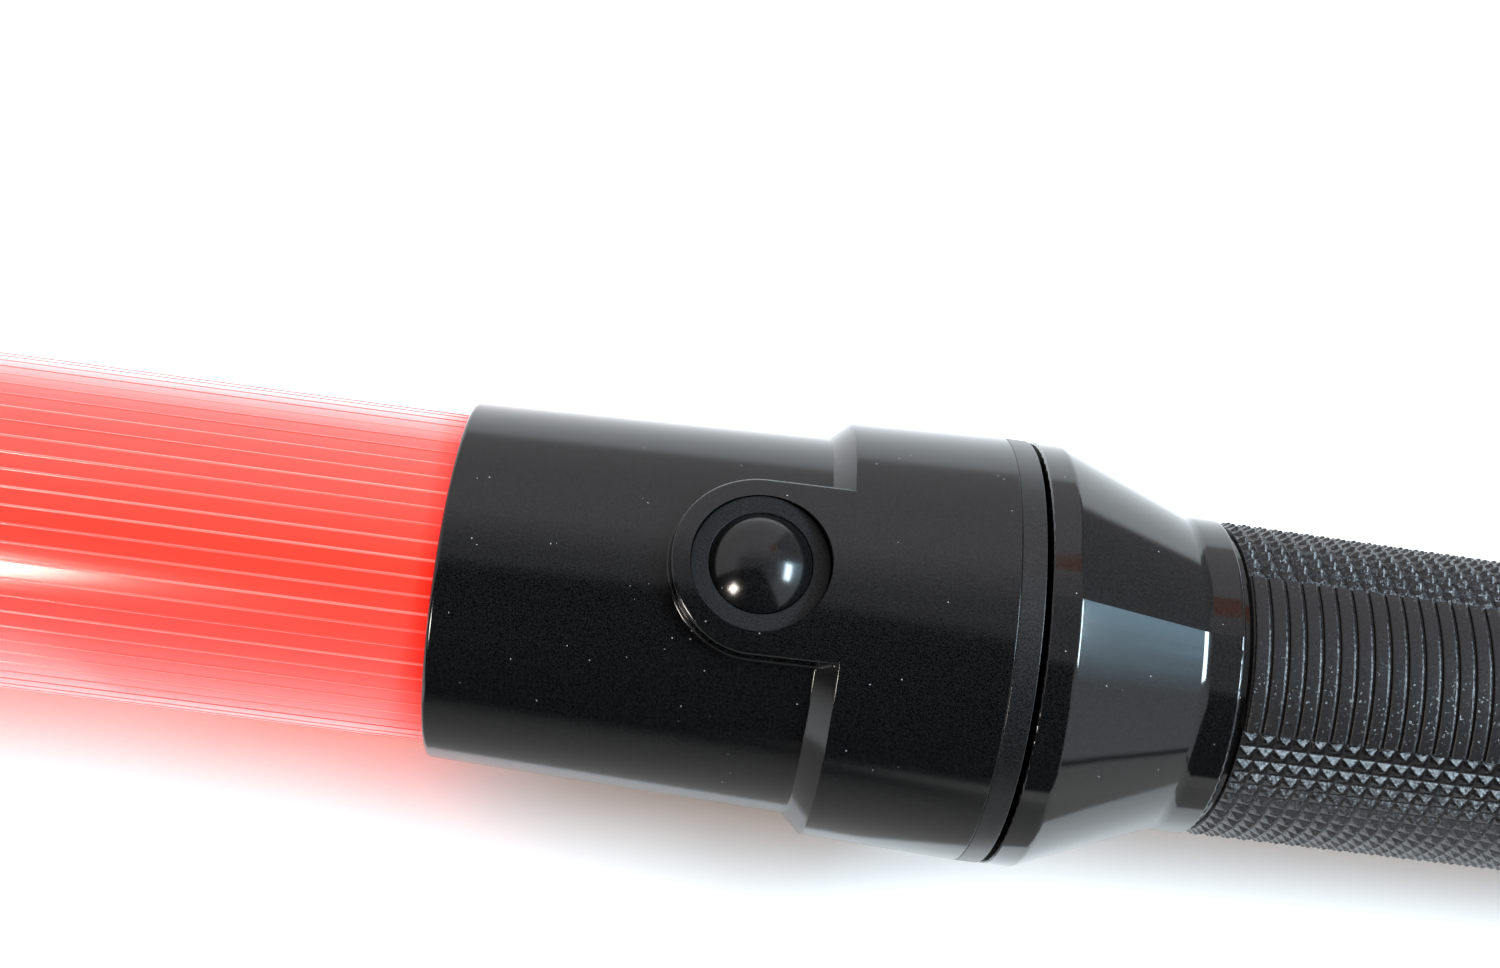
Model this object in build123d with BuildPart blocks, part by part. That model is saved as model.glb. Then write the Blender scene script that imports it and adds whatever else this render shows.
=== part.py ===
from build123d import *
import os

# Traffic baton light, in millimetres.
# The baton lies along X: the lit tube points to -X, the handle to +X, and the button faces +Z.
# The origin is under the middle of the baton, on the surface that the widest rim touches.

# ---- Driving dimensions -------------------------------------------------------------------
OVERALL_LENGTH = 540.0
HEAD_RADIUS = 26.0          # widest rim, shared by the head and the handle's flare
TUBE_RADIUS = 20.0
TUBE_WALL = 1.5
TUBE_FOOT_RADIUS = 19.5     # turned-down foot that is glued in the head
TUBE_FOOT_GAP = 0.1         # between the tube's shoulder and the front lip of the head
CELL_RADIUS = 16.8          # D cell
CELL_BODY = 60.0
CELL_NUB = 1.5
CELL_NUB_RADIUS = 4.75
FIT = 0.05                  # radial gap of parts that sit in each other and don't move
RUNNING_GAP = 0.08          # radial gap of parts that slide or turn in each other
OVERLAP = 0.5               # how far a feature is sunk in the wall that it joins

TIP_X = -OVERALL_LENGTH / 2
TAIL_X = OVERALL_LENGTH / 2

# Stations along the head and the handle, from the front lip of the head
LIP_X = 55.0
TUBE_END_X = LIP_X + 21.0
BULKHEAD_X = LIP_X + 22.0
CAVITY_X = LIP_X + 25.0
BUTTON_X = LIP_X + 35.6
STEP_X = LIP_X + 43.0
SHOULDER_X = LIP_X + 45.4
CARRIER_X = LIP_X + 46.0
RING_SEAT_X = LIP_X + 56.0
SPIGOT_X = LIP_X + 56.9
SEAM_X = LIP_X + 64.2
RING_END_X = LIP_X + 67.0
FLARE_X = LIP_X + 67.66
CONE_X = LIP_X + 71.0
NECK_X = LIP_X + 87.4
NECK_END_X = LIP_X + 91.8
GRIP_X = LIP_X + 92.8
GRIP_TAPER_END_X = LIP_X + 140.0
CELL_X = LIP_X + 58.0
CELLS_END_X = CELL_X + 2 * (CELL_BODY + CELL_NUB)
SPRING_PLATE_X = CELLS_END_X + 12.0
PLUG_NOSE_X = SPRING_PLATE_X + 0.8
BARREL_END_X = LIP_X + 200.0

# Radii of the head and the handle
LIP_RADIUS = 21.65
STEP_RADIUS = 23.05
SHOULDER_RADIUS = 25.25
SOCKET_RADIUS = TUBE_FOOT_RADIUS + FIT
CAVITY_RADIUS = 19.5
BULKHEAD_BORE = 13.0
CARRIER_BORE = 22.0
RING_BORE = 24.0
NECK_RADIUS = 19.5
BARREL_RADIUS = 18.4
BARREL_BORE = 17.3
GRIP_FRONT_RADIUS = 19.4
GRIP_RADIUS = 19.0
TAIL_RADIUS = 19.4

# Screw thread between head and handle: right hand, one start
PITCH = 3.0
SPIGOT_RADIUS = 21.4
MALE_CREST = 22.2
FEMALE_CREST = 21.7
FEMALE_ROOT = 22.6
RIDGE_FOOT = 1.6            # axial width of the ridge at its foot
RIDGE_TOP = 0.9             # axial width of the ridge at its crest
RIDGE_SUNK = 0.2            # how deep a ridge's foot is sunk in its wall
MALE_THREAD_X = LIP_X + 58.5
MALE_THREAD_LENGTH = 6.5
FEMALE_THREAD_LENGTH = 7.0

# Button and the boss around it, as heights above the baton's axis
BOSS_RADIUS = 10.0
BOSS_DRAFT = 4.0            # degrees
BOSS_FOOT = 18.0
BOSS_FOOT_RADIUS = BOSS_RADIUS + 0.45
BOSS_REACH = 9.0
BEZEL_RADIUS = 7.87
BEZEL_TOP = 23.4
BEZEL_BOTTOM = 21.8
BUTTON_RADIUS = 5.7
BUTTON_TOP = HEAD_RADIUS
FLANGE_RADIUS = 6.8
FLANGE_TOP = 21.5
FLANGE_BOTTOM = 20.5
FLANGE_WELL_RADIUS = 7.2
PLUNGER_RADIUS = 1.6
PLUNGER_BOTTOM = 12.9
SWITCH_SIZE = 9.0
SWITCH_TOP = 14.5
SWITCH_WELL_BOTTOM = 11.2
BOARD_TOP = 8.5
BOARD_THICKNESS = 1.6
BOARD_BOTTOM = BOARD_TOP - BOARD_THICKNESS
BOARD_LENGTH = 18.0
BOARD_WIDTH = 32.0
LEDGE_BOTTOM = 1.5
LEDGE_INNER_Y = 11.5

# Small screws
SCREW_RADIUS = 1.0
SCREW_HEAD_RADIUS = 2.0
SCREW_HEAD_HEIGHT = 1.4
BOARD_SCREW_SPACING = (12.0, 27.0)
BOARD_SCREW_LENGTH = 4.5
LED_SCREW_CIRCLE = 15.5
LED_SCREW_LENGTH = 2.5
CARRIER_SCREW_CIRCLE = 20.6
CARRIER_SCREW_RADIUS = 0.9
CARRIER_SCREW_HEAD_RADIUS = 1.3
CARRIER_SCREW_LENGTH = 3.5
CARRIER_THICKNESS = 3.5

# Lanyard ring, folded into the recess of the tail
RECESS_RADIUS = 14.0
RECESS_X = TAIL_X - 10.0
RING_PIVOT_X = TAIL_X - 3.0
RING_PIVOT_HEIGHT = 9.5
RING_WIRE_RADIUS = 1.05
RING_WIDTH = 16.0
RING_HEIGHT = 16.0
LUG_WIDTH = 5.0

# ---- Datum planes and profile helpers -----------------------------------------------------
AXIS_HEIGHT = HEAD_RADIUS
BATON_AXIS = Axis((0, 0, AXIS_HEIGHT), (1, 0, 0))
SIDE = Plane(origin=(0, 0, AXIS_HEIGHT), x_dir=(1, 0, 0), z_dir=(0, -1, 0))


def across(x):
    """Plane across the baton at x: its own x is +Y, its own y is +Z, and it faces +X."""
    return Plane(origin=(x, 0, AXIS_HEIGHT), x_dir=(0, 1, 0), z_dir=(1, 0, 0))


def level(height):
    """Level plane at a height above the baton's axis, centred under the button."""
    return Plane(origin=(BUTTON_X, 0, AXIS_HEIGHT + height), x_dir=(1, 0, 0), z_dir=(0, 0, 1))


def outline(*points):
    """Closed profile of (x, radius) points, to turn about the baton's axis."""
    with BuildSketch(SIDE) as profile:
        with BuildLine():
            Polyline(*points, close=True)
        make_face()
    return profile.sketch


def band(x_start, x_end, inner_radius, outer_radius):
    """Profile of a plain ring or sleeve between two stations."""
    return outline(
        (x_start, inner_radius),
        (x_start, outer_radius),
        (x_end, outer_radius),
        (x_end, inner_radius),
    )


def seal(x_centre, radius, wire_radius):
    """Round-section ring about the baton's axis."""
    with BuildPart() as ring:
        with BuildSketch(SIDE):
            with Locations((x_centre, radius)):
                Circle(wire_radius)
        revolve(axis=BATON_AXIS)
    return ring


def thread_ridge(foot_radius, crest_radius, x_start, length):
    """One helical ridge about the baton's axis, from its foot radius to its crest radius."""
    rise = crest_radius - foot_radius
    with BuildPart() as ridge:
        centre = Vector(x_start, 0, AXIS_HEIGHT)
        with BuildLine() as helix:
            Helix(PITCH, length, foot_radius, center=centre, direction=(1, 0, 0))
        start = helix.line @ 0
        with BuildSketch(Plane(origin=start, x_dir=start - centre, z_dir=helix.line % 0)):
            with BuildLine():
                Polyline(
                    (0, -RIDGE_FOOT / 2),
                    (0, RIDGE_FOOT / 2),
                    (rise, RIDGE_TOP / 2),
                    (rise, -RIDGE_TOP / 2),
                    close=True,
                )
            make_face()
        sweep(path=helix.line, is_frenet=True)
    return ridge


def coil(foot, direction, radius, wire_radius, turns, height):
    """Open helical spring that rises from the centre of its foot."""
    with BuildPart() as spring:
        with BuildLine() as helix:
            Helix(height / turns, height, radius, foot, direction)
        with BuildSketch(Plane(origin=helix.line @ 0, z_dir=helix.line % 0)):
            Circle(wire_radius)
        sweep(path=helix.line, is_frenet=True)
    return spring


def wire(y, x_start, x_turn, start_height, wire_radius=0.6, bend_radius=3.0):
    """Lead that runs along the baton and then turns up to the underside of the switch board."""
    with BuildPart() as lead:
        with BuildLine() as route:
            FilletPolyline(
                (x_start, y, AXIS_HEIGHT + start_height),
                (x_turn, y, AXIS_HEIGHT + start_height),
                (x_turn, y, AXIS_HEIGHT + BOARD_BOTTOM),
                radius=bend_radius,
            )
        with BuildSketch(Plane(origin=route.line @ 0, z_dir=route.line % 0)):
            Circle(wire_radius)
        sweep(path=route.line)
    return lead


def crown_radius(x):
    """Radius of the head's wide cone at x, which the boss carries forward over the sleeve."""
    slope = (HEAD_RADIUS - SHOULDER_RADIUS) / (SEAM_X - SHOULDER_X)
    return SHOULDER_RADIUS + slope * (x - SHOULDER_X)


# ---- Tube ---------------------------------------------------------------------------------
TIP_CAP_FLANGE = 4.0
TIP_CAP_PLUG = 12.0
TIP_EDGE_ROUND = 3.0
REFLECTOR_THICKNESS = 0.6
TUBE_BORE = TUBE_RADIUS - TUBE_WALL
TUBE_X = TIP_X + TIP_CAP_FLANGE
PLUG_END_X = TUBE_X + TIP_CAP_PLUG
TUBE_SHOULDER_X = LIP_X - TUBE_FOOT_GAP

with BuildPart() as light_tube:
    revolve(
        outline(
            (TUBE_X, TUBE_BORE),
            (TUBE_X, TUBE_RADIUS),
            (TUBE_SHOULDER_X, TUBE_RADIUS),
            (TUBE_SHOULDER_X, TUBE_FOOT_RADIUS),
            (TUBE_END_X, TUBE_FOOT_RADIUS),
            (TUBE_END_X, TUBE_BORE),
        ),
        axis=BATON_AXIS,
    )

with BuildPart() as tip_cap:
    revolve(
        outline(
            (TIP_X, 0),
            (TIP_X, TUBE_RADIUS),
            (TUBE_X, TUBE_RADIUS),
            (TUBE_X, TUBE_BORE - FIT),
            (PLUG_END_X, TUBE_BORE - FIT),
            (PLUG_END_X, TUBE_BORE - TUBE_WALL),
            (TUBE_X, TUBE_BORE - TUBE_WALL),
            (TUBE_X, 0),
        ),
        axis=BATON_AXIS,
    )
    tip_edges = tip_cap.edges().filter_by(GeomType.CIRCLE).group_by(Axis.X)[0]
    fillet(tip_edges, radius=TIP_EDGE_ROUND)

with BuildPart() as tip_reflector:
    revolve(band(PLUG_END_X, PLUG_END_X + REFLECTOR_THICKNESS, 0, TUBE_BORE - FIT), axis=BATON_AXIS)

with BuildPart() as tube_gasket:
    revolve(
        band(TUBE_END_X, BULKHEAD_X, TUBE_BORE + FIT, TUBE_FOOT_RADIUS - FIT), axis=BATON_AXIS
    )

# ---- Head housing -------------------------------------------------------------------------
BOSS_EDGE_ROUND = 0.35
LIP_ROUND = 0.6
STEP_ROUND = 0.3
SHOULDER_ROUND = 0.25
SEAM_ROUND = 0.12
BOSS_END_X = SHOULDER_X + OVERLAP

with BuildPart() as boss:
    with BuildSketch(level(BOSS_FOOT)):
        Circle(BOSS_FOOT_RADIUS)
        Rectangle(
            BOSS_END_X + OVERLAP - BUTTON_X,
            2 * BOSS_FOOT_RADIUS,
            align=(Align.MIN, Align.CENTER),
        )
    extrude(amount=BOSS_REACH, taper=BOSS_DRAFT)
    revolve(
        outline(
            (LIP_X, 0),
            (LIP_X, crown_radius(LIP_X)),
            (BOSS_END_X, crown_radius(BOSS_END_X)),
            (BOSS_END_X, 0),
        ),
        axis=BATON_AXIS,
        mode=Mode.INTERSECT,
    )
    with BuildSketch(level(BOSS_FOOT)):
        Circle(BEZEL_RADIUS)
    extrude(amount=BOSS_REACH, mode=Mode.SUBTRACT)
    # Every edge of the crown is rounded but the one that runs into the wide cone
    crown = boss.faces().sort_by(Axis.Z)[-1]
    fillet(crown.edges().sort_by(Axis.X)[:-1], radius=BOSS_EDGE_ROUND)

with BuildPart() as head_housing:
    with BuildSketch(SIDE):
        with BuildLine():
            FilletPolyline(
                (LIP_X, 0),
                (LIP_X, LIP_RADIUS),
                (STEP_X, STEP_RADIUS),
                (SHOULDER_X, SHOULDER_RADIUS),
                (SEAM_X, HEAD_RADIUS),
                (SEAM_X, 0),
                radius=[LIP_ROUND, STEP_ROUND, SHOULDER_ROUND, SEAM_ROUND],
            )
            Line((SEAM_X, 0), (LIP_X, 0))
        make_face()
    revolve(axis=BATON_AXIS)
    add(boss.part)

    # The recess for the bezel, and the well that the button's flange moves in
    with BuildSketch(level(BEZEL_BOTTOM)):
        Circle(BEZEL_RADIUS)
    extrude(amount=BOSS_REACH, mode=Mode.SUBTRACT)
    with BuildSketch(level(BEZEL_BOTTOM)):
        Circle(FLANGE_WELL_RADIUS)
    extrude(amount=-BOSS_REACH, mode=Mode.SUBTRACT)

    # Tube socket, bulkhead bore, switch cavity, carrier bore and seat of the threaded ring
    revolve(
        outline(
            (LIP_X, 0),
            (LIP_X, SOCKET_RADIUS),
            (BULKHEAD_X, SOCKET_RADIUS),
            (BULKHEAD_X, BULKHEAD_BORE),
            (CAVITY_X, BULKHEAD_BORE),
            (CAVITY_X, CAVITY_RADIUS),
            (CARRIER_X, CAVITY_RADIUS),
            (CARRIER_X, CARRIER_BORE),
            (RING_SEAT_X, CARRIER_BORE),
            (RING_SEAT_X, RING_BORE),
            (SEAM_X, RING_BORE),
            (SEAM_X, 0),
        ),
        axis=BATON_AXIS,
        mode=Mode.SUBTRACT,
    )

    # Ledges under the switch board, one on each side
    for side in (-1, 1):
        with BuildSketch(across(CAVITY_X)):
            Circle(CAVITY_RADIUS + OVERLAP)
            with Locations((side * (LEDGE_INNER_Y + CAVITY_RADIUS), (LEDGE_BOTTOM + BOARD_BOTTOM) / 2)):
                Rectangle(2 * CAVITY_RADIUS, BOARD_BOTTOM - LEDGE_BOTTOM, mode=Mode.INTERSECT)
        extrude(amount=CARRIER_X - CAVITY_X)

    # Pilot holes for the screws of the switch board, the LED board and the contact carrier
    with BuildSketch(level(BOARD_BOTTOM)):
        with GridLocations(*BOARD_SCREW_SPACING, 2, 2):
            Circle(SCREW_RADIUS + FIT / 2)
    extrude(amount=-BOARD_SCREW_LENGTH, mode=Mode.SUBTRACT)
    with BuildSketch(across(BULKHEAD_X)):
        with PolarLocations(LED_SCREW_CIRCLE, 3, start_angle=90):
            Circle(SCREW_RADIUS + FIT / 2)
    extrude(amount=LED_SCREW_LENGTH, mode=Mode.SUBTRACT)
    with BuildSketch(across(CARRIER_X)):
        with PolarLocations(CARRIER_SCREW_CIRCLE, 3, start_angle=30):
            Circle(CARRIER_SCREW_RADIUS + FIT / 2)
    extrude(amount=-CARRIER_SCREW_LENGTH, mode=Mode.SUBTRACT)

# ---- Button -------------------------------------------------------------------------------
CAP_RISE = BUTTON_TOP - BEZEL_TOP
CAP_SPHERE = (BUTTON_RADIUS**2 + CAP_RISE**2) / (2 * CAP_RISE)
BEZEL_EDGE_ROUND = 0.15
SPRING_RADIUS = 3.4
SPRING_WIRE = 0.35
SPRING_TURNS = 4

with BuildPart() as button_bezel:
    with BuildSketch(level(BEZEL_BOTTOM)):
        Circle(BEZEL_RADIUS - FIT)
        Circle(BUTTON_RADIUS + RUNNING_GAP, mode=Mode.SUBTRACT)
    extrude(amount=BEZEL_TOP - BEZEL_BOTTOM)
    bezel_edges = button_bezel.edges().filter_by(GeomType.CIRCLE).group_by(Axis.Z)[-1]
    fillet(bezel_edges, radius=BEZEL_EDGE_ROUND)

with BuildPart() as button_cap:
    with BuildSketch(level(FLANGE_BOTTOM)):
        Circle(FLANGE_RADIUS)
    extrude(amount=FLANGE_TOP - FLANGE_BOTTOM)
    with BuildSketch(level(FLANGE_TOP)):
        Circle(BUTTON_RADIUS)
    extrude(amount=BEZEL_TOP - FLANGE_TOP)
    button_axis = Axis((BUTTON_X, 0, AXIS_HEIGHT), (0, 0, 1))
    with BuildSketch(SIDE):
        with BuildLine():
            dome = RadiusArc((BUTTON_X + BUTTON_RADIUS, BEZEL_TOP), (BUTTON_X, BUTTON_TOP), -CAP_SPHERE)
            Line(dome @ 1, (BUTTON_X, BEZEL_TOP))
            Line((BUTTON_X, BEZEL_TOP), dome @ 0)
        make_face()
    revolve(axis=button_axis)

with BuildPart() as switch_plunger:
    with BuildSketch(level(PLUNGER_BOTTOM)):
        Circle(PLUNGER_RADIUS)
    extrude(amount=FLANGE_BOTTOM - PLUNGER_BOTTOM)

button_spring = coil(
    foot=(BUTTON_X, 0, AXIS_HEIGHT + SWITCH_TOP + SPRING_WIRE),
    direction=(0, 0, 1),
    radius=SPRING_RADIUS,
    wire_radius=SPRING_WIRE,
    turns=SPRING_TURNS,
    height=FLANGE_BOTTOM - SWITCH_TOP - 2 * SPRING_WIRE,
)

# ---- Switch board -------------------------------------------------------------------------
TERMINAL_RADIUS = 0.4
TERMINAL_SPACING = 6.0
TERMINAL_LENGTH = 3.2
CHIP_CENTRE = (0.0, 8.8)
CHIP_SIZE = (5.0, 4.0, 1.6)
RESISTOR_CENTRE = (0.0, -8.0)
RESISTOR_SIZE = (1.6, 3.2, 0.6)
RESISTOR_PITCH = 3.0
SWITCH_CHAMFER = 0.4
CHIP_CHAMFER = 0.3
SCREW_CHAMFER = 0.4

with BuildPart() as switch_body:
    with BuildSketch(level(BOARD_TOP)):
        Rectangle(SWITCH_SIZE, SWITCH_SIZE)
    extrude(amount=SWITCH_TOP - BOARD_TOP)
    chamfer(switch_body.edges().group_by(Axis.Z)[-1], length=SWITCH_CHAMFER)
    with BuildSketch(level(SWITCH_WELL_BOTTOM)):
        Circle(PLUNGER_RADIUS + RUNNING_GAP)
    extrude(amount=SWITCH_TOP - SWITCH_WELL_BOTTOM, mode=Mode.SUBTRACT)

with BuildPart() as switch_terminals:
    with BuildSketch(level(BOARD_TOP)):
        with GridLocations(TERMINAL_SPACING, TERMINAL_SPACING, 2, 2):
            Circle(TERMINAL_RADIUS)
    extrude(amount=-TERMINAL_LENGTH)

with BuildPart() as switch_board:
    with BuildSketch(level(BOARD_BOTTOM)):
        Rectangle(BOARD_LENGTH, BOARD_WIDTH)
        with GridLocations(*BOARD_SCREW_SPACING, 2, 2):
            Circle(SCREW_RADIUS + FIT, mode=Mode.SUBTRACT)
        with GridLocations(TERMINAL_SPACING, TERMINAL_SPACING, 2, 2):
            Circle(TERMINAL_RADIUS + FIT, mode=Mode.SUBTRACT)
    extrude(amount=BOARD_THICKNESS)

with BuildPart() as board_screws:
    with BuildSketch(level(BOARD_TOP)):
        with GridLocations(*BOARD_SCREW_SPACING, 2, 2):
            Circle(SCREW_HEAD_RADIUS)
    extrude(amount=SCREW_HEAD_HEIGHT)
    chamfer(board_screws.edges().group_by(Axis.Z)[-1], length=SCREW_CHAMFER)
    with BuildSketch(level(BOARD_TOP)):
        with GridLocations(*BOARD_SCREW_SPACING, 2, 2):
            Circle(SCREW_RADIUS)
    extrude(amount=-(BOARD_THICKNESS + BOARD_SCREW_LENGTH))

with BuildPart() as flasher_chip:
    with BuildSketch(level(BOARD_TOP)):
        with Locations(CHIP_CENTRE):
            Rectangle(CHIP_SIZE[0], CHIP_SIZE[1])
    extrude(amount=CHIP_SIZE[2])
    chamfer(flasher_chip.edges().group_by(Axis.Z)[-1], length=CHIP_CHAMFER)

with BuildPart() as resistors:
    with BuildSketch(level(BOARD_TOP)):
        with Locations(RESISTOR_CENTRE):
            with GridLocations(RESISTOR_PITCH, 1, 3, 1):
                Rectangle(RESISTOR_SIZE[0], RESISTOR_SIZE[1])
    extrude(amount=RESISTOR_SIZE[2])

# ---- Light source at the foot of the tube -------------------------------------------------
LED_BOARD_RADIUS = TUBE_BORE - 4 * FIT
LED_BOARD_FACE_X = BULKHEAD_X - BOARD_THICKNESS
LED_CIRCLE = 8.0
LED_RADIUS = 2.5
LED_FLANGE_RADIUS = 2.9
LED_FLANGE = 1.0
LED_STEM = 6.1
CUP_MOUTH_X = LIP_X + 8.0
CUP_FOOT_RADIUS = 12.3
CUP_WALL = 1.2

with BuildPart() as led_board:
    with BuildSketch(across(LED_BOARD_FACE_X)):
        Circle(LED_BOARD_RADIUS)
        with PolarLocations(LED_SCREW_CIRCLE, 3, start_angle=90):
            Circle(SCREW_RADIUS + FIT, mode=Mode.SUBTRACT)
    extrude(amount=BOARD_THICKNESS)

with BuildPart() as led_board_screws:
    with BuildSketch(across(LED_BOARD_FACE_X)):
        with PolarLocations(LED_SCREW_CIRCLE, 3, start_angle=90):
            Circle(SCREW_HEAD_RADIUS)
    extrude(amount=-SCREW_HEAD_HEIGHT)
    chamfer(led_board_screws.edges().group_by(Axis.X)[0], length=SCREW_CHAMFER)
    with BuildSketch(across(LED_BOARD_FACE_X)):
        with PolarLocations(LED_SCREW_CIRCLE, 3, start_angle=90):
            Circle(SCREW_RADIUS)
    extrude(amount=BOARD_THICKNESS + LED_SCREW_LENGTH)

with BuildPart() as leds:
    with BuildSketch(across(LED_BOARD_FACE_X)):
        Circle(LED_FLANGE_RADIUS)
        with PolarLocations(LED_CIRCLE, 6):
            Circle(LED_FLANGE_RADIUS)
    extrude(amount=-LED_FLANGE)
    with BuildSketch(across(LED_BOARD_FACE_X - LED_FLANGE)):
        Circle(LED_RADIUS)
        with PolarLocations(LED_CIRCLE, 6):
            Circle(LED_RADIUS)
    extrude(amount=-LED_STEM)
    led_tips = leds.edges().filter_by(GeomType.CIRCLE).group_by(Axis.X)[0]
    fillet(led_tips, radius=LED_RADIUS - FIT)

with BuildPart() as led_reflector:
    revolve(
        outline(
            (CUP_MOUTH_X, TUBE_BORE - 4 * FIT),
            (LED_BOARD_FACE_X, CUP_FOOT_RADIUS),
            (LED_BOARD_FACE_X, CUP_FOOT_RADIUS - CUP_WALL),
            (CUP_MOUTH_X, TUBE_BORE - 4 * FIT - CUP_WALL),
        ),
        axis=BATON_AXIS,
    )

# ---- Contacts at the back of the head -----------------------------------------------------
HUB_RADIUS = 5.5
HUB_END_X = LIP_X + 54.0
CARRIER_FACE_X = CARRIER_X + CARRIER_THICKNESS
STEM_RADIUS = 1.0
STEM_END_X = CARRIER_X - 0.5
CONTACT_RADIUS = 4.5
CONTACT_RIM = 0.6
CONTACT_DOME_X = CELL_X - 0.8
CONTACT_TOP_X = CELL_X - 0.4
STRIP_THICKNESS = 0.4
WASHER_INNER = 13.0
WASHER_OUTER = 17.0
FINGER_WIDTH = 5.0
FINGER_FOOT = 15.0
FINGER_KNEE = 18.2
FINGER_TIP = 20.0
FINGER_FLARE = 0.35         # how much further out the finger's outer side runs than its inner side
FINGER_X = CARRIER_FACE_X + STRIP_THICKNESS
FINGER_TIP_X = LIP_X + 56.0
FEED_MINUS_Y = 6.0

with BuildPart() as contact_carrier:
    with BuildSketch(across(CARRIER_X)):
        Circle(CARRIER_BORE - FIT)
        Circle(STEM_RADIUS, mode=Mode.SUBTRACT)
        with PolarLocations(CARRIER_SCREW_CIRCLE, 3, start_angle=30):
            Circle(CARRIER_SCREW_RADIUS + FIT, mode=Mode.SUBTRACT)
    extrude(amount=CARRIER_THICKNESS)
    with BuildSketch(across(CARRIER_FACE_X)):
        Circle(HUB_RADIUS)
        Circle(STEM_RADIUS, mode=Mode.SUBTRACT)
    extrude(amount=HUB_END_X - CARRIER_FACE_X)

with BuildPart() as carrier_screws:
    with BuildSketch(across(CARRIER_FACE_X)):
        with PolarLocations(CARRIER_SCREW_CIRCLE, 3, start_angle=30):
            Circle(CARRIER_SCREW_HEAD_RADIUS)
    extrude(amount=SCREW_HEAD_HEIGHT)
    chamfer(carrier_screws.edges().group_by(Axis.X)[-1], length=SCREW_CHAMFER)
    with BuildSketch(across(CARRIER_FACE_X)):
        with PolarLocations(CARRIER_SCREW_CIRCLE, 3, start_angle=30):
            Circle(CARRIER_SCREW_RADIUS)
    extrude(amount=-(CARRIER_THICKNESS + CARRIER_SCREW_LENGTH))

with BuildPart() as positive_contact:
    revolve(
        outline(
            (STEM_END_X, 0),
            (STEM_END_X, STEM_RADIUS),
            (HUB_END_X, STEM_RADIUS),
            (HUB_END_X, CONTACT_RADIUS),
            (HUB_END_X + CONTACT_RIM, CONTACT_RADIUS),
            (CONTACT_DOME_X, CONTACT_RADIUS / 2),
            (CONTACT_TOP_X, 0),
        ),
        axis=BATON_AXIS,
    )

with BuildPart() as contact_finger:
    with BuildSketch(SIDE):
        with BuildLine():
            Polyline(
                (CARRIER_FACE_X, FINGER_FOOT),
                (FINGER_X, FINGER_FOOT),
                (FINGER_X, WASHER_OUTER),
                (FINGER_TIP_X, FINGER_KNEE),
                (FINGER_TIP_X, FINGER_TIP),
                (FINGER_TIP_X - STRIP_THICKNESS, FINGER_TIP),
                (FINGER_TIP_X - STRIP_THICKNESS, FINGER_KNEE + FINGER_FLARE),
                (CARRIER_FACE_X, WASHER_OUTER + FINGER_FLARE),
                close=True,
            )
        make_face()
    extrude(amount=FINGER_WIDTH / 2, both=True)

with BuildPart() as ring_contact:
    with BuildSketch(across(CARRIER_FACE_X)):
        Circle(WASHER_OUTER)
        Circle(WASHER_INNER, mode=Mode.SUBTRACT)
    extrude(amount=STRIP_THICKNESS)
    for turn in (0, 120, 240):
        add(contact_finger.part.rotate(BATON_AXIS, turn))

LEAD_HEIGHT = 2.0
LEAD_TURN = 8.0
LED_LEAD_Y = 4.0
led_wire_plus = wire(LED_LEAD_Y, BULKHEAD_X, BULKHEAD_X + LEAD_TURN, LEAD_HEIGHT)
led_wire_minus = wire(-LED_LEAD_Y, BULKHEAD_X, BULKHEAD_X + LEAD_TURN, LEAD_HEIGHT)
feed_wire_plus = wire(0.0, STEM_END_X, CARRIER_X - LEAD_TURN, 0.0)
feed_wire_minus = wire(FEED_MINUS_Y, CARRIER_X, CARRIER_X - LEAD_TURN, LEAD_HEIGHT)

# ---- Threaded ring and seal ---------------------------------------------------------------
SEAL_RECESS_X = LIP_X + 65.3
SEAL_RECESS_RADIUS = 24.25
SEAL_X = LIP_X + 66.15
SEAL_RADIUS = 23.4
SEAL_WIRE = 0.7

female_ridge = thread_ridge(
    FEMALE_ROOT + RIDGE_SUNK, FEMALE_CREST, MALE_THREAD_X - PITCH / 2, FEMALE_THREAD_LENGTH
)

with BuildPart() as threaded_ring:
    with BuildSketch(SIDE):
        with BuildLine():
            FilletPolyline(
                (SEAM_X, RING_BORE - FIT),
                (SEAM_X, HEAD_RADIUS),
                (RING_END_X, HEAD_RADIUS),
                (RING_END_X, SEAL_RECESS_RADIUS),
                radius=SEAM_ROUND,
            )
            Polyline(
                (RING_END_X, SEAL_RECESS_RADIUS),
                (SEAL_RECESS_X, SEAL_RECESS_RADIUS),
                (SEAL_RECESS_X, FEMALE_ROOT),
                (RING_SEAT_X, FEMALE_ROOT),
                (RING_SEAT_X, RING_BORE - FIT),
                (SEAM_X, RING_BORE - FIT),
            )
        make_face()
    revolve(axis=BATON_AXIS)
    add(female_ridge.part)

seal_ring = seal(SEAL_X, SEAL_RADIUS, SEAL_WIRE)

# ---- Handle shell: spigot, flare, neck and the barrel that holds the cells -----------------
CONE_EDGE_ROUND = 1.2
CONE_FOOT_ROUND = 3.0
NECK_EDGE_ROUND = 0.5
FLARE_EDGE_ROUND = 0.25
STRIP_GROOVE_WIDTH = 6.0
STRIP_GROOVE_RADIUS = 17.9
STRIP_GROOVE_DEPTH = 1.5
STRIP_GROOVE_OVERRUN = 2.0

male_ridge = thread_ridge(
    SPIGOT_RADIUS - RIDGE_SUNK, MALE_CREST, MALE_THREAD_X, MALE_THREAD_LENGTH
)

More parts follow.
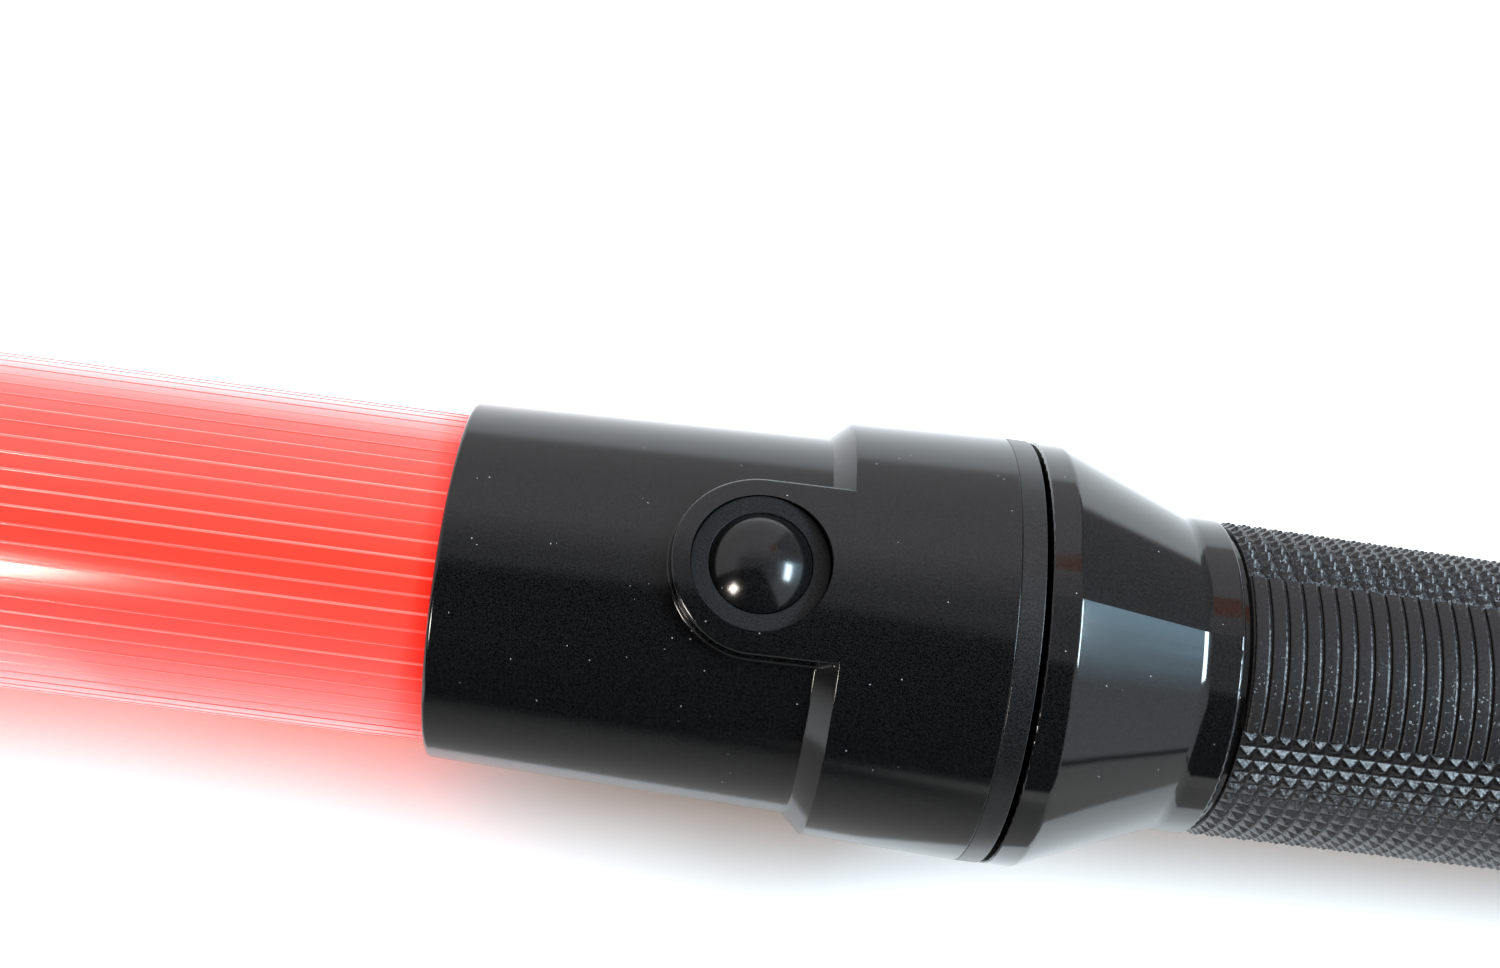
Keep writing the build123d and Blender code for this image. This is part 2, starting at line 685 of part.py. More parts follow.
with BuildPart() as handle_shell:
    with BuildSketch(SIDE):
        with BuildLine():
            FilletPolyline(
                (SPIGOT_X, SPIGOT_RADIUS),
                (FLARE_X, SPIGOT_RADIUS),
                (FLARE_X, HEAD_RADIUS),
                (CONE_X, HEAD_RADIUS),
                (NECK_X, NECK_RADIUS),
                (NECK_END_X, NECK_RADIUS),
                (NECK_END_X, BARREL_RADIUS),
                (BARREL_END_X, BARREL_RADIUS),
                radius=[
                    FLARE_EDGE_ROUND,
                    FLARE_EDGE_ROUND,
                    CONE_EDGE_ROUND,
                    CONE_FOOT_ROUND,
                    NECK_EDGE_ROUND,
                    FLARE_EDGE_ROUND,
                ],
            )
            Polyline(
                (BARREL_END_X, BARREL_RADIUS),
                (BARREL_END_X, BARREL_BORE),
                (SPIGOT_X, BARREL_BORE),
                (SPIGOT_X, SPIGOT_RADIUS),
            )
        make_face()
    revolve(axis=BATON_AXIS)
    add(male_ridge.part)
    # Groove along the bottom of the bore, for the negative strip
    with BuildSketch(across(SPIGOT_X)):
        with Locations((0, -STRIP_GROOVE_RADIUS)):
            Rectangle(STRIP_GROOVE_WIDTH, STRIP_GROOVE_DEPTH, align=(Align.CENTER, Align.MIN))
    extrude(amount=SPRING_PLATE_X + STRIP_GROOVE_OVERRUN - SPIGOT_X, mode=Mode.SUBTRACT)

with BuildPart() as handle_grip:
    revolve(
        outline(
            (GRIP_X, BARREL_RADIUS + FIT),
            (GRIP_X, GRIP_FRONT_RADIUS),
            (GRIP_TAPER_END_X, GRIP_RADIUS),
            (BARREL_END_X, GRIP_RADIUS),
            (BARREL_END_X, BARREL_RADIUS + FIT),
        ),
        axis=BATON_AXIS,
    )

# ---- Cells and their contacts -------------------------------------------------------------
CELL_EDGE_ROUND = 1.0
STRIP_WIDTH = 5.0
CONTACT_RING_OUTER = 20.6
CONTACT_RING_INNER = BARREL_BORE + 0.2
CONTACT_RING_X = SPIGOT_X - 0.5
TAIL_SPRING_WIRE = 0.6
TAIL_SPRING_RADIUS = 7.5


def cell(x_start):
    """D cell with its positive nub towards the head."""
    with BuildPart() as can:
        revolve(
            outline(
                (x_start, 0),
                (x_start, CELL_NUB_RADIUS),
                (x_start + CELL_NUB, CELL_NUB_RADIUS),
                (x_start + CELL_NUB, CELL_RADIUS),
                (x_start + CELL_NUB + CELL_BODY, CELL_RADIUS),
                (x_start + CELL_NUB + CELL_BODY, 0),
            ),
            axis=BATON_AXIS,
        )
        circles = can.edges().filter_by(GeomType.CIRCLE)
        fillet(circles.filter_by(lambda edge: edge.radius > CELL_RADIUS - FIT), radius=CELL_EDGE_ROUND)
    return can


battery_front = cell(CELL_X)
battery_rear = cell(CELL_X + CELL_NUB + CELL_BODY)

with BuildPart() as negative_strip:
    with BuildSketch(across(CONTACT_RING_X)):
        Circle(CONTACT_RING_OUTER)
        Circle(CONTACT_RING_INNER, mode=Mode.SUBTRACT)
    extrude(amount=SPIGOT_X - CONTACT_RING_X)
    with BuildSketch(across(CONTACT_RING_X)):
        with Locations((0, -(STRIP_GROOVE_RADIUS - FIT))):
            Rectangle(STRIP_WIDTH, STRIP_THICKNESS, align=(Align.CENTER, Align.MIN))
    extrude(amount=SPRING_PLATE_X - CONTACT_RING_X)

with BuildPart() as spring_plate:
    revolve(band(SPRING_PLATE_X, PLUG_NOSE_X, 0, BARREL_BORE - 2 * FIT), axis=BATON_AXIS)

tail_spring = coil(
    foot=(SPRING_PLATE_X - TAIL_SPRING_WIRE, 0, AXIS_HEIGHT),
    direction=(-1, 0, 0),
    radius=TAIL_SPRING_RADIUS,
    wire_radius=TAIL_SPRING_WIRE,
    turns=SPRING_TURNS,
    height=SPRING_PLATE_X - CELLS_END_X - 2 * TAIL_SPRING_WIRE,
)

# ---- Tail ---------------------------------------------------------------------------------
TAIL_EDGE = 1.0
GASKET_GROOVE_RADIUS = 15.9
GASKET_WIRE = 0.65
GASKET_X = BARREL_END_X - 3.0
GASKET_GROOVE_START_X = GASKET_X - 1.0
GASKET_GROOVE_END_X = GASKET_X + 1.0
LUG_HALF_HEIGHT = 2.3
RING_TOP_CORNER = 2.2
RING_FOOT_CORNER = 7.9

with BuildPart() as tail_plug:
    revolve(
        outline(
            (PLUG_NOSE_X, 0),
            (PLUG_NOSE_X, BARREL_BORE - FIT),
            (GASKET_GROOVE_START_X, BARREL_BORE - FIT),
            (GASKET_GROOVE_START_X, GASKET_GROOVE_RADIUS),
            (GASKET_GROOVE_END_X, GASKET_GROOVE_RADIUS),
            (GASKET_GROOVE_END_X, BARREL_BORE - FIT),
            (BARREL_END_X, BARREL_BORE - FIT),
            (BARREL_END_X, TAIL_RADIUS),
            (TAIL_X - TAIL_EDGE, TAIL_RADIUS),
            (TAIL_X, TAIL_RADIUS - TAIL_EDGE),
            (TAIL_X, RECESS_RADIUS),
            (RECESS_X, RECESS_RADIUS),
            (RECESS_X, 0),
        ),
        axis=BATON_AXIS,
    )
    # Lug that the lanyard ring swings in
    with BuildSketch(SIDE):
        with Locations((RING_PIVOT_X, RING_PIVOT_HEIGHT)):
            Circle(LUG_HALF_HEIGHT)
            Rectangle(
                RING_PIVOT_X - RECESS_X + OVERLAP,
                2 * LUG_HALF_HEIGHT,
                align=(Align.MAX, Align.CENTER),
            )
    extrude(amount=LUG_WIDTH / 2, both=True)
    with BuildSketch(SIDE):
        with Locations((RING_PIVOT_X, RING_PIVOT_HEIGHT)):
            Circle(RING_WIRE_RADIUS + RUNNING_GAP)
    extrude(amount=LUG_WIDTH, both=True, mode=Mode.SUBTRACT)

tail_gasket = seal(GASKET_X, GASKET_GROOVE_RADIUS + GASKET_WIRE, GASKET_WIRE)

with BuildPart() as lanyard_ring:
    with BuildLine(across(RING_PIVOT_X)) as loop:
        FilletPolyline(
            (-RING_WIDTH / 2, RING_PIVOT_HEIGHT),
            (RING_WIDTH / 2, RING_PIVOT_HEIGHT),
            (RING_WIDTH / 2, RING_PIVOT_HEIGHT - RING_HEIGHT),
            (-RING_WIDTH / 2, RING_PIVOT_HEIGHT - RING_HEIGHT),
            radius=[RING_TOP_CORNER, RING_TOP_CORNER, RING_FOOT_CORNER, RING_FOOT_CORNER],
            close=True,
        )
    with BuildSketch(Plane(origin=loop.line @ 0, z_dir=loop.line % 0)):
        Circle(RING_WIRE_RADIUS)
    sweep(path=loop.line)

# ---- Output -------------------------------------------------------------------------------
PIECES = {
    "light_tube": light_tube,
    "tip_cap": tip_cap,
    "tip_reflector": tip_reflector,
    "tube_gasket": tube_gasket,
    "head_housing": head_housing,
    "button_bezel": button_bezel,
    "button_cap": button_cap,
    "button_spring": button_spring,
    "switch_plunger": switch_plunger,
    "switch_body": switch_body,
    "switch_terminals": switch_terminals,
    "switch_board": switch_board,
    "board_screws": board_screws,
    "flasher_chip": flasher_chip,
    "resistors": resistors,
    "led_board": led_board,
    "led_board_screws": led_board_screws,
    "leds": leds,
    "led_reflector": led_reflector,
    "contact_carrier": contact_carrier,
    "carrier_screws": carrier_screws,
    "positive_contact": positive_contact,
    "ring_contact": ring_contact,
    "led_wire_plus": led_wire_plus,
    "led_wire_minus": led_wire_minus,
    "feed_wire_plus": feed_wire_plus,
    "feed_wire_minus": feed_wire_minus,
    "threaded_ring": threaded_ring,
    "seal_ring": seal_ring,
    "handle_shell": handle_shell,
    "handle_grip": handle_grip,
    "battery_front": battery_front,
    "battery_rear": battery_rear,
    "negative_strip": negative_strip,
    "spring_plate": spring_plate,
    "tail_spring": tail_spring,
    "tail_plug": tail_plug,
    "tail_gasket": tail_gasket,
    "lanyard_ring": lanyard_ring,
}

os.makedirs("parts", exist_ok=True)
for name, piece in PIECES.items():
    piece.part.label = name
    export_step(piece.part, f"parts/{name}.step")
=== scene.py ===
import math

import bmesh
import bpy
from mathutils import Matrix, Vector


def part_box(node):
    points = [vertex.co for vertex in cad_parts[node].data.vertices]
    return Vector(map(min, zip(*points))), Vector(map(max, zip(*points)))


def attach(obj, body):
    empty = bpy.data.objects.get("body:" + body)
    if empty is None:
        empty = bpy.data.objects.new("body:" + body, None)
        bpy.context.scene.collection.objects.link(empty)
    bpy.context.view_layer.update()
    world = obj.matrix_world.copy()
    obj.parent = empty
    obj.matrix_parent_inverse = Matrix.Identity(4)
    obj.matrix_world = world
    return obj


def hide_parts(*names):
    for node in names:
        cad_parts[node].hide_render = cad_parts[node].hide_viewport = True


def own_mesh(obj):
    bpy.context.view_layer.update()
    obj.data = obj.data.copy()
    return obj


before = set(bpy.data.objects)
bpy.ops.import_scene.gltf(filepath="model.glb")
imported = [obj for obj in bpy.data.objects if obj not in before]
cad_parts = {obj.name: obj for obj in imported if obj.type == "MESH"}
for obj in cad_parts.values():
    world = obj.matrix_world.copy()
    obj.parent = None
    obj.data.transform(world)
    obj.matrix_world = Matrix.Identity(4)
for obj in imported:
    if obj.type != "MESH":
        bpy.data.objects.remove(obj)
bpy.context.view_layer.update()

# Traffic baton light, in metres. The baton lies along X, with the tube towards -X and the button up.
MM = 0.001

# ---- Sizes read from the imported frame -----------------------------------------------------
TUBE_LOW, TUBE_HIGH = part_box("light_tube")
GRIP_LOW, GRIP_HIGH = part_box("handle_grip")
HEAD_LOW, HEAD_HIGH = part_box("head_housing")
BEZEL_LOW, BEZEL_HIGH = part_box("button_bezel")
AXIS_HEIGHT = (TUBE_LOW.z + TUBE_HIGH.z) / 2
TUBE_RADIUS = (TUBE_HIGH.z - TUBE_LOW.z) / 2
GRIP_FRONT_RADIUS = (GRIP_HIGH.z - GRIP_LOW.z) / 2
BUTTON_X = (BEZEL_LOW.x + BEZEL_HIGH.x) / 2
LIP_X = HEAD_LOW.x
SEAM_X = HEAD_HIGH.x

# ---- Sizes that the boxes don't give, which have to fit the CAD bodies --------------------
TUBE_BORE = TUBE_RADIUS - 1.5 * MM
TUBE_FOOT_RADIUS = TUBE_RADIUS - 0.5 * MM
TUBE_SHOULDER_X = LIP_X - 0.1 * MM
GRIP_BORE = 18.45 * MM
GRIP_RADIUS = GRIP_FRONT_RADIUS - 0.4 * MM
GRIP_TAPER_LENGTH = 47.2 * MM
STEP_X = LIP_X + 43.0 * MM
SHOULDER_X = LIP_X + 45.4 * MM
LIP_RADIUS = 21.65 * MM
STEP_RADIUS = 23.05 * MM
SHOULDER_RADIUS = 25.25 * MM
HEAD_RADIUS = 26.0 * MM
SOCKET_RADIUS = 19.55 * MM
BULKHEAD_X = LIP_X + 22.0 * MM
BULKHEAD_BORE = 13.0 * MM
CAVITY_X = LIP_X + 25.0 * MM
CAVITY_RADIUS = 19.5 * MM
CARRIER_X = LIP_X + 46.0 * MM
CARRIER_BORE = 22.0 * MM
RING_SEAT_X = LIP_X + 56.0 * MM
RING_BORE = 24.0 * MM
BEZEL_SEAT = 21.8 * MM
BEZEL_RECESS_RADIUS = 7.87 * MM
FLANGE_WELL_RADIUS = 7.2 * MM
FLANGE_WELL_BOTTOM = 12.8 * MM
LEDGE_INNER_Y = 11.5 * MM
LEDGE_BOTTOM = 1.5 * MM
LEDGE_TOP = 6.9 * MM


# ---- Node graphs --------------------------------------------------------------------------
class Graph:
    """The node tree of one material or world, with short calls that add nodes."""

    def __init__(self, owner):
        owner.use_nodes = True
        self.tree = owner.node_tree
        self.tree.nodes.clear()

    def add(self, kind, inputs=(), **settings):
        """Adds a node. inputs pairs a socket's name or number with a value or another socket."""
        node = self.tree.nodes.new(kind)
        for name, value in settings.items():
            setattr(node, name, value)
        for key, value in dict(inputs).items():
            if isinstance(value, bpy.types.NodeSocket):
                self.tree.links.new(value, node.inputs[key])
            else:
                node.inputs[key].default_value = value
        return node

    def place(self):
        """Position in the row frame, which stays with the piece when it moves."""
        return self.add("ShaderNodeTexCoord").outputs["Object"]

    def stretched(self, scale):
        """The same position, scaled along each axis."""
        return self.add("ShaderNodeMapping", {"Vector": self.place(), "Scale": scale}).outputs["Vector"]

    def along_and_round(self):
        """Place along the baton, and angle round its axis from +Z towards +Y."""
        x, y, z = self.add("ShaderNodeSeparateXYZ", {0: self.place()}).outputs
        return x, self.calc("ARCTAN2", y, self.calc("SUBTRACT", z, AXIS_HEIGHT))

    def calc(self, operation, *values):
        """One arithmetic step."""
        return self.add("ShaderNodeMath", enumerate(values), operation=operation).outputs[0]

    def vector(self, operation, *values):
        """One arithmetic step on vectors."""
        return self.add("ShaderNodeVectorMath", enumerate(values), operation=operation).outputs[0]

    def noise(self, where, scale, detail=2.0, roughness=0.5):
        """Soft noise, from 0 to 1."""
        inputs = {"Vector": where, "Scale": scale, "Detail": detail, "Roughness": roughness}
        return self.add("ShaderNodeTexNoise", inputs).outputs["Fac"]

    def cells(self, where, scale):
        """Distance to the nearest of scattered points, and the value of that point's cell."""
        node = self.add("ShaderNodeTexVoronoi", {"Vector": where, "Scale": scale})
        return node.outputs["Distance"], node.outputs["Color"]

    def span(self, value, low, high, to_low, to_high):
        """Maps one range to another, and stays within it."""
        inputs = {0: value, 1: low, 2: high, 3: to_low, 4: to_high}
        return self.add("ShaderNodeMapRange", inputs).outputs[0]

    def blend(self, factor, first, second):
        """Colour between two colours."""
        inputs = {0: factor, 6: first, 7: second}
        return self.add("ShaderNodeMix", inputs, data_type="RGBA").outputs[2]

    def bump(self, height, distance):
        """Normal of a fine relief, whose height of 1 is the distance in metres."""
        inputs = {"Height": height, "Distance": distance, "Strength": 1.0}
        return self.add("ShaderNodeBump", inputs).outputs["Normal"]

    def surface(self, inputs):
        """The finished shader."""
        shader = self.add("ShaderNodeBsdfPrincipled", inputs)
        self.add("ShaderNodeOutputMaterial", {"Surface": shader.outputs[0]})


def grey(level, blue=1.0):
    """Near-neutral colour, with a share more or less blue."""
    return (level, level, level * blue, 1.0)


def slot_graph(slot):
    """Emptied graph of the material that the CAD nodes of a slot came with, so that they all change."""
    return Graph(bpy.data.materials.get(slot) or bpy.data.materials.new(slot))


# ---- Materials ----------------------------------------------------------------------------
BLACK_TINT = 1.05                    # share of blue in the black plastics
SPECK_DENSITY = 1500.0               # cells in a metre, each with a point where a speck may lie
SPECK_SIZE = 0.12                    # radius, as a share of a cell
SPECK_CUT = 0.97                     # cells whose value is above this have a speck
SPECK_ROUGHNESS = 0.6


def dust(graph):
    """Mask of sparse specks: 1 on a speck and 0 elsewhere."""
    distance, cell = graph.cells(graph.place(), SPECK_DENSITY)
    value = graph.add("ShaderNodeSeparateColor", {0: cell}).outputs[0]
    chosen = graph.calc("GREATER_THAN", value, SPECK_CUT)
    near = graph.calc("LESS_THAN", distance, SPECK_SIZE)
    return graph.calc("MULTIPLY", chosen, near)


def black_plastic(slot, level, roughness, grain, grain_scale=9000.0, specks=True, extra=()):
    """Moulded black plastic: uneven gloss, faint handling marks, moulded grain and a little dust.

    level is the brightness of the base colour, and grain is the height of the relief in millimetres.
    """
    graph = slot_graph(slot)
    broad = graph.noise(graph.place(), 45.0, 4.0)
    streaks = graph.noise(graph.stretched((90.0, 900.0, 900.0)), 1.0, 3.0)
    fine = graph.noise(graph.place(), grain_scale, 2.0, 0.6)
    satin = graph.noise(graph.place(), 6500.0, 1.0)
    dark = grey(level * 0.1, BLACK_TINT)
    light = grey(level * 2.4, BLACK_TINT)
    colour = graph.blend(graph.span(satin, 0.35, 0.65, 0.0, 1.0), dark, light)
    uneven = graph.calc("MULTIPLY_ADD", broad, roughness * 0.35, roughness * 0.72)
    uneven = graph.calc("MULTIPLY_ADD", streaks, roughness * 0.22, uneven)
    if specks:
        speck = dust(graph)
        colour = graph.blend(speck, colour, grey(0.30))
        uneven = graph.calc("MAXIMUM", uneven, graph.calc("MULTIPLY", speck, SPECK_ROUGHNESS))
    inputs = {
        "Base Color": colour,
        "Roughness": uneven,
        "IOR": 1.5,
        "Normal": graph.bump(fine, grain * MM),
    }
    inputs.update(extra)
    graph.surface(inputs)


def tube_plastic():
    """Cloudy red tube with a gloss skin. Its emission is a painted glow standing in for daylight passing
    through the translucent wall, and the paler colour and brighter emission along its lines are painted
    highlights.
    """
    graph = slot_graph("tube_red")
    cloud = graph.noise(graph.stretched((12.0, 60.0, 60.0)), 1.0, 3.0)
    drawn = graph.noise(graph.stretched((20.0, 1500.0, 1500.0)), 1.0, 2.0)
    colour = graph.blend(cloud, (0.90, 0.014, 0.004, 1.0), (0.95, 0.026, 0.009, 1.0))
    _, bearing = graph.along_and_round()
    turns = graph.calc("DIVIDE", graph.calc("SUBTRACT", bearing, LINE_PHASE), LINE_PITCH)
    from_line = graph.calc("ABSOLUTE", graph.calc("SUBTRACT", turns, graph.calc("ROUND", turns)))
    # Painted highlight along each line: paler base colour and brighter emission, broken up by noise.
    line_highlight = graph.span(from_line, 0.4 * LINE_SHARE, 0.6 * LINE_SHARE, 1.0, 0.0)
    uneven = graph.noise(graph.stretched((9.0, 260.0, 260.0)), 1.0, 2.0)
    line_highlight = graph.calc("MULTIPLY", line_highlight, graph.span(uneven, 0.36, 0.62, 0.12, 1.0))
    graph.surface({
        "Base Color": graph.blend(line_highlight, colour, (0.95, 0.085, 0.065, 1.0)),
        "Roughness": graph.span(cloud, 0.3, 0.7, 0.15, 0.21),
        "IOR": 1.58,
        "Sheen Weight": 0.85,
        "Sheen Roughness": 0.5,
        # Painted glow over the whole tube, standing in for daylight passing through the red wall; it also
        # tints the table pink beside the tube.
        "Emission Color": graph.blend(line_highlight, (1.0, 0.014, 0.004, 1.0), (1.0, 0.15, 0.12, 1.0)),
        "Emission Strength": 0.80,
        "Normal": graph.bump(drawn, 0.01 * MM),
    })


def cap_plastic():
    """Deeper translucent red of the moulded end cap, with faint flow marks."""
    graph = slot_graph("cap_red")
    flow = graph.noise(graph.place(), 120.0, 4.0)
    grain = graph.noise(graph.place(), 5000.0)
    graph.surface({
        "Base Color": graph.blend(flow, (0.55, 0.012, 0.010, 1.0), (0.70, 0.025, 0.018, 1.0)),
        "Roughness": graph.span(flow, 0.3, 0.7, 0.22, 0.32),
        "Transmission Weight": 0.15,
        "Normal": graph.bump(grain, 0.02 * MM),
    })


def plain_plastic(slot, dark, light, roughness, extra=()):
    """Coloured moulded plastic or insulation between two near tones, with a fine grain."""
    graph = slot_graph(slot)
    mottle = graph.noise(graph.place(), 400.0, 3.0)
    grain = graph.noise(graph.place(), 6000.0)
    inputs = {
        "Base Color": graph.blend(mottle, (*dark, 1.0), (*light, 1.0)),
        "Roughness": graph.span(mottle, 0.3, 0.7, roughness * 0.85, roughness * 1.15),
        "Normal": graph.bump(grain, 0.02 * MM),
    }
    inputs.update(extra)
    graph.surface(inputs)


def metal(slot, dark, light, roughness, marks_scale):
    """Metal with fine marks, whose scale is given along each axis, and slightly uneven tarnish."""
    graph = slot_graph(slot)
    marks = graph.noise(graph.stretched(marks_scale), 1.0, 4.0, 0.6)
    tarnish = graph.noise(graph.place(), 150.0, 3.0)
    graph.surface({
        "Base Color": graph.blend(tarnish, (*dark, 1.0), (*light, 1.0)),
        "Metallic": 1.0,
        "Roughness": graph.span(marks, 0.3, 0.7, roughness * 0.7, roughness * 1.4),
        "Normal": graph.bump(marks, 0.01 * MM),
    })


def board():
    """Green solder mask with raised tracks under it."""
    graph = slot_graph("board_green")
    tracks = graph.add("ShaderNodeTexBrick", {
        "Vector": graph.place(),
        "Scale": 260.0,
        "Mortar Size": 0.11,
        "Mortar Smooth": 0.2,
    }).outputs["Fac"]
    weave = graph.noise(graph.place(), 2500.0)
    graph.surface({
        "Base Color": graph.blend(tracks, (0.010, 0.080, 0.030, 1.0), (0.022, 0.170, 0.062, 1.0)),
        "Roughness": graph.span(weave, 0.3, 0.7, 0.26, 0.38),
        "Normal": graph.bump(tracks, 0.03 * MM),
    })


# Shares of a cell's length
JACKET_START = 0.055
DARK_START = 0.30
JACKET_END = 0.965


def cell_jacket():
    """Printed sleeve of a D cell: bare steel at the ends, a copper band and a dark band."""
    graph = slot_graph("cell_steel")
    x, _ = graph.along_and_round()
    cells_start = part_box("battery_front")[0].x
    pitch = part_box("battery_rear")[0].x - cells_start
    share = graph.calc("FRACT", graph.calc("DIVIDE", graph.calc("SUBTRACT", x, cells_start), pitch))
    after_start = graph.calc("GREATER_THAN", share, JACKET_START)
    before_end = graph.calc("LESS_THAN", share, JACKET_END)
    jacket = graph.calc("MULTIPLY", after_start, before_end)
    scuff = graph.noise(graph.place(), 700.0, 4.0)
    steel = graph.blend(scuff, grey(0.55), grey(0.72))
    dark = graph.calc("GREATER_THAN", share, DARK_START)
    printed = graph.blend(dark, (0.60, 0.22, 0.08, 1.0), (0.012, 0.012, 0.014, 1.0))
    graph.surface({
        "Base Color": graph.blend(jacket, steel, printed),
        "Metallic": graph.calc("SUBTRACT", 1.0, graph.calc("MULTIPLY", jacket, 0.6)),
        "Roughness": graph.span(scuff, 0.3, 0.7, 0.22, 0.36),
        "Normal": graph.bump(scuff, 0.01 * MM),
    })


FLATS_SCALE = 4600.0
GLOSSY_FLATS = 0.90                  # a flat on a matt rib is glossy when its cell's value is above this
RIB_EDGE_SHARE = 0.80                # the rest of a rib's pitch is its glossy edge
PYRAMID_CANT = (0.28, -0.17, 0.0)    # leans the pyramids' normals towards the tail and the front
MATT_CANT = (-0.20, 0.0, 0.0)        # leans the matt ribs' normals towards the head


def grip_rubber():
    """Black grip: matt ribs with glossy edges, and pyramids with a skin of tiny flats that glint."""
    graph = slot_graph("grip_black")
    x, bearing = graph.along_and_round()
    from_panel = graph.calc("ABSOLUTE", graph.calc("SUBTRACT", bearing, PANEL_CENTRE))
    pyramids = graph.calc("GREATER_THAN", from_panel, PANEL_HALF)
    share = graph.calc("FRACT", graph.calc("DIVIDE", graph.calc("SUBTRACT", x, GRIP_LOW.x), PITCH_X))
    edges = graph.calc("GREATER_THAN", share, RIB_EDGE_SHARE)
    _, cell = graph.cells(graph.place(), FLATS_SCALE)
    value = graph.add("ShaderNodeSeparateColor", {0: cell}).outputs[1]
    glossy_flats = graph.calc("GREATER_THAN", value, GLOSSY_FLATS)
    glossy = graph.calc("MAXIMUM", pyramids, graph.calc("MAXIMUM", edges, glossy_flats))
    matt = graph.calc("SUBTRACT", 1.0, glossy)
    pits = graph.noise(graph.place(), 5200.0, 3.0, 0.7)
    broad = graph.noise(graph.place(), 60.0, 3.0)
    spread = graph.span(glossy, 0.0, 1.0, 0.12, 0.32)
    cant = graph.vector("MULTIPLY", pyramids, PYRAMID_CANT)
    cant = graph.vector("MULTIPLY_ADD", matt, MATT_CANT, cant)
    jitter = graph.vector("MULTIPLY_ADD", graph.vector("SUBTRACT", cell, (0.5, 0.5, 0.5)), spread, cant)
    pitted = graph.bump(pits, 0.045 * MM)
    rough = graph.span(pits, 0.35, 0.65, 0.15, 0.26)
    graph.surface({
        "Base Color": graph.blend(broad, (0.0052, 0.0038, 0.0042, 1.0), (0.0078, 0.0060, 0.0068, 1.0)),
        "Roughness": graph.calc("MULTIPLY_ADD", matt, 0.25, rough),
        "Specular IOR Level": 0.50,
        "Normal": graph.vector("NORMALIZE", graph.vector("ADD", pitted, jitter)),
    })


def make_materials():
    """A material for every slot of the record."""
    tube_plastic()
    cap_plastic()
    black_plastic("head_black", 0.0034, 0.13, grain=0.004)
    black_plastic(
        "bezel_black", 0.0060, 0.50, grain=0.020, grain_scale=7000.0, specks=False,
        extra={"Specular IOR Level": 0.22},
    )
    black_plastic("button_black", 0.0034, 0.17, grain=0.001)
    black_plastic("ring_black", 0.0060, 0.32, grain=0.012)
    black_plastic("flare_black", 0.0036, 0.075, grain=0.0015)
    black_plastic("plug_black", 0.0080, 0.32, grain=0.015)
    black_plastic("carrier_black", 0.0200, 0.45, grain=0.020, specks=False)
    black_plastic("chip_black", 0.0150, 0.50, grain=0.020, specks=False)
    black_plastic("gasket_black", 0.0080, 0.60, grain=0.020, specks=False)
    grip_rubber()
    plain_plastic("switch_grey", (0.09, 0.10, 0.11), (0.13, 0.14, 0.15), 0.42)
    plain_plastic("plunger_white", (0.70, 0.69, 0.65), (0.82, 0.81, 0.78), 0.35)
    plain_plastic("cup_white", (0.78, 0.78, 0.75), (0.88, 0.88, 0.86), 0.18)
    plain_plastic("wire_red", (0.42, 0.012, 0.010), (0.55, 0.020, 0.016), 0.38)
    plain_plastic("wire_black", (0.010, 0.010, 0.010), (0.020, 0.020, 0.020), 0.38)
    plain_plastic(
        "led_clear", (0.90, 0.22, 0.18), (0.95, 0.30, 0.26), 0.08,
        extra={"Transmission Weight": 0.8},
    )
    board()
    cell_jacket()
    metal("spring_steel", (0.42, 0.42, 0.44), (0.58, 0.58, 0.60), 0.28, (700.0, 700.0, 700.0))
    metal("screw_steel", (0.50, 0.50, 0.48), (0.66, 0.66, 0.65), 0.30, (900.0, 900.0, 900.0))
    metal("contact_brass", (0.60, 0.36, 0.10), (0.76, 0.50, 0.18), 0.26, (1500.0, 300.0, 300.0))
    metal("reflector_silver", (0.80, 0.80, 0.81), (0.92, 0.92, 0.93), 0.10, (400.0, 400.0, 400.0))
    metal("bail_chrome", (0.62, 0.62, 0.64), (0.80, 0.80, 0.82), 0.10, (500.0, 500.0, 500.0))


# ---- Mesh helpers -------------------------------------------------------------------------
def around(x, radius, angle):
    """Point about the baton's axis. The angle runs from +Z towards +Y."""
    return (x, radius * math.sin(angle), AXIS_HEIGHT + radius * math.cos(angle))


def new_mesh(name, points, faces):
    """Closed mesh, with its faces turned outwards."""
    mesh = bpy.data.meshes.new(name)
    mesh.from_pydata(points, [], faces)
    shape = bmesh.new()
    shape.from_mesh(mesh)
    bmesh.ops.recalc_face_normals(shape, faces=shape.faces)
    shape.to_mesh(mesh)
    shape.free()
    return mesh


def piece(name, mesh, slot, body, node, sharp=35.0):
    """New piece that stands for a CAD node and rides on its body."""
    mesh.polygons.foreach_set("use_smooth", [True] * len(mesh.polygons))
    mesh.set_sharp_from_angle(angle=math.radians(sharp))
    mesh.materials.clear()
    mesh.materials.append(bpy.data.materials[slot])
    made = bpy.data.objects.new(name, mesh)
    bpy.context.scene.collection.objects.link(made)
    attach(made, body)
    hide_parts(node)
    return made


def join(*parts):
    """Several sets of points and faces as one."""
    points, faces = [], []
    for part_points, part_faces in parts:
        faces += [tuple(k + len(points) for k in face) for face in part_faces]
        points += part_points
    return points, faces


def lathe(rings):
    """Points and faces of a closed skin through rings of equal count, joined first to last as well."""
    points = [point for ring in rings for point in ring]
    count = len(rings[0])
    faces = []
    for i in range(len(rings)):
        first, second = i * count, (i + 1) % len(rings) * count
        for k in range(count):
            after = (k + 1) % count
            faces.append((first + k, first + after, second + after, second + k))
    return points, faces


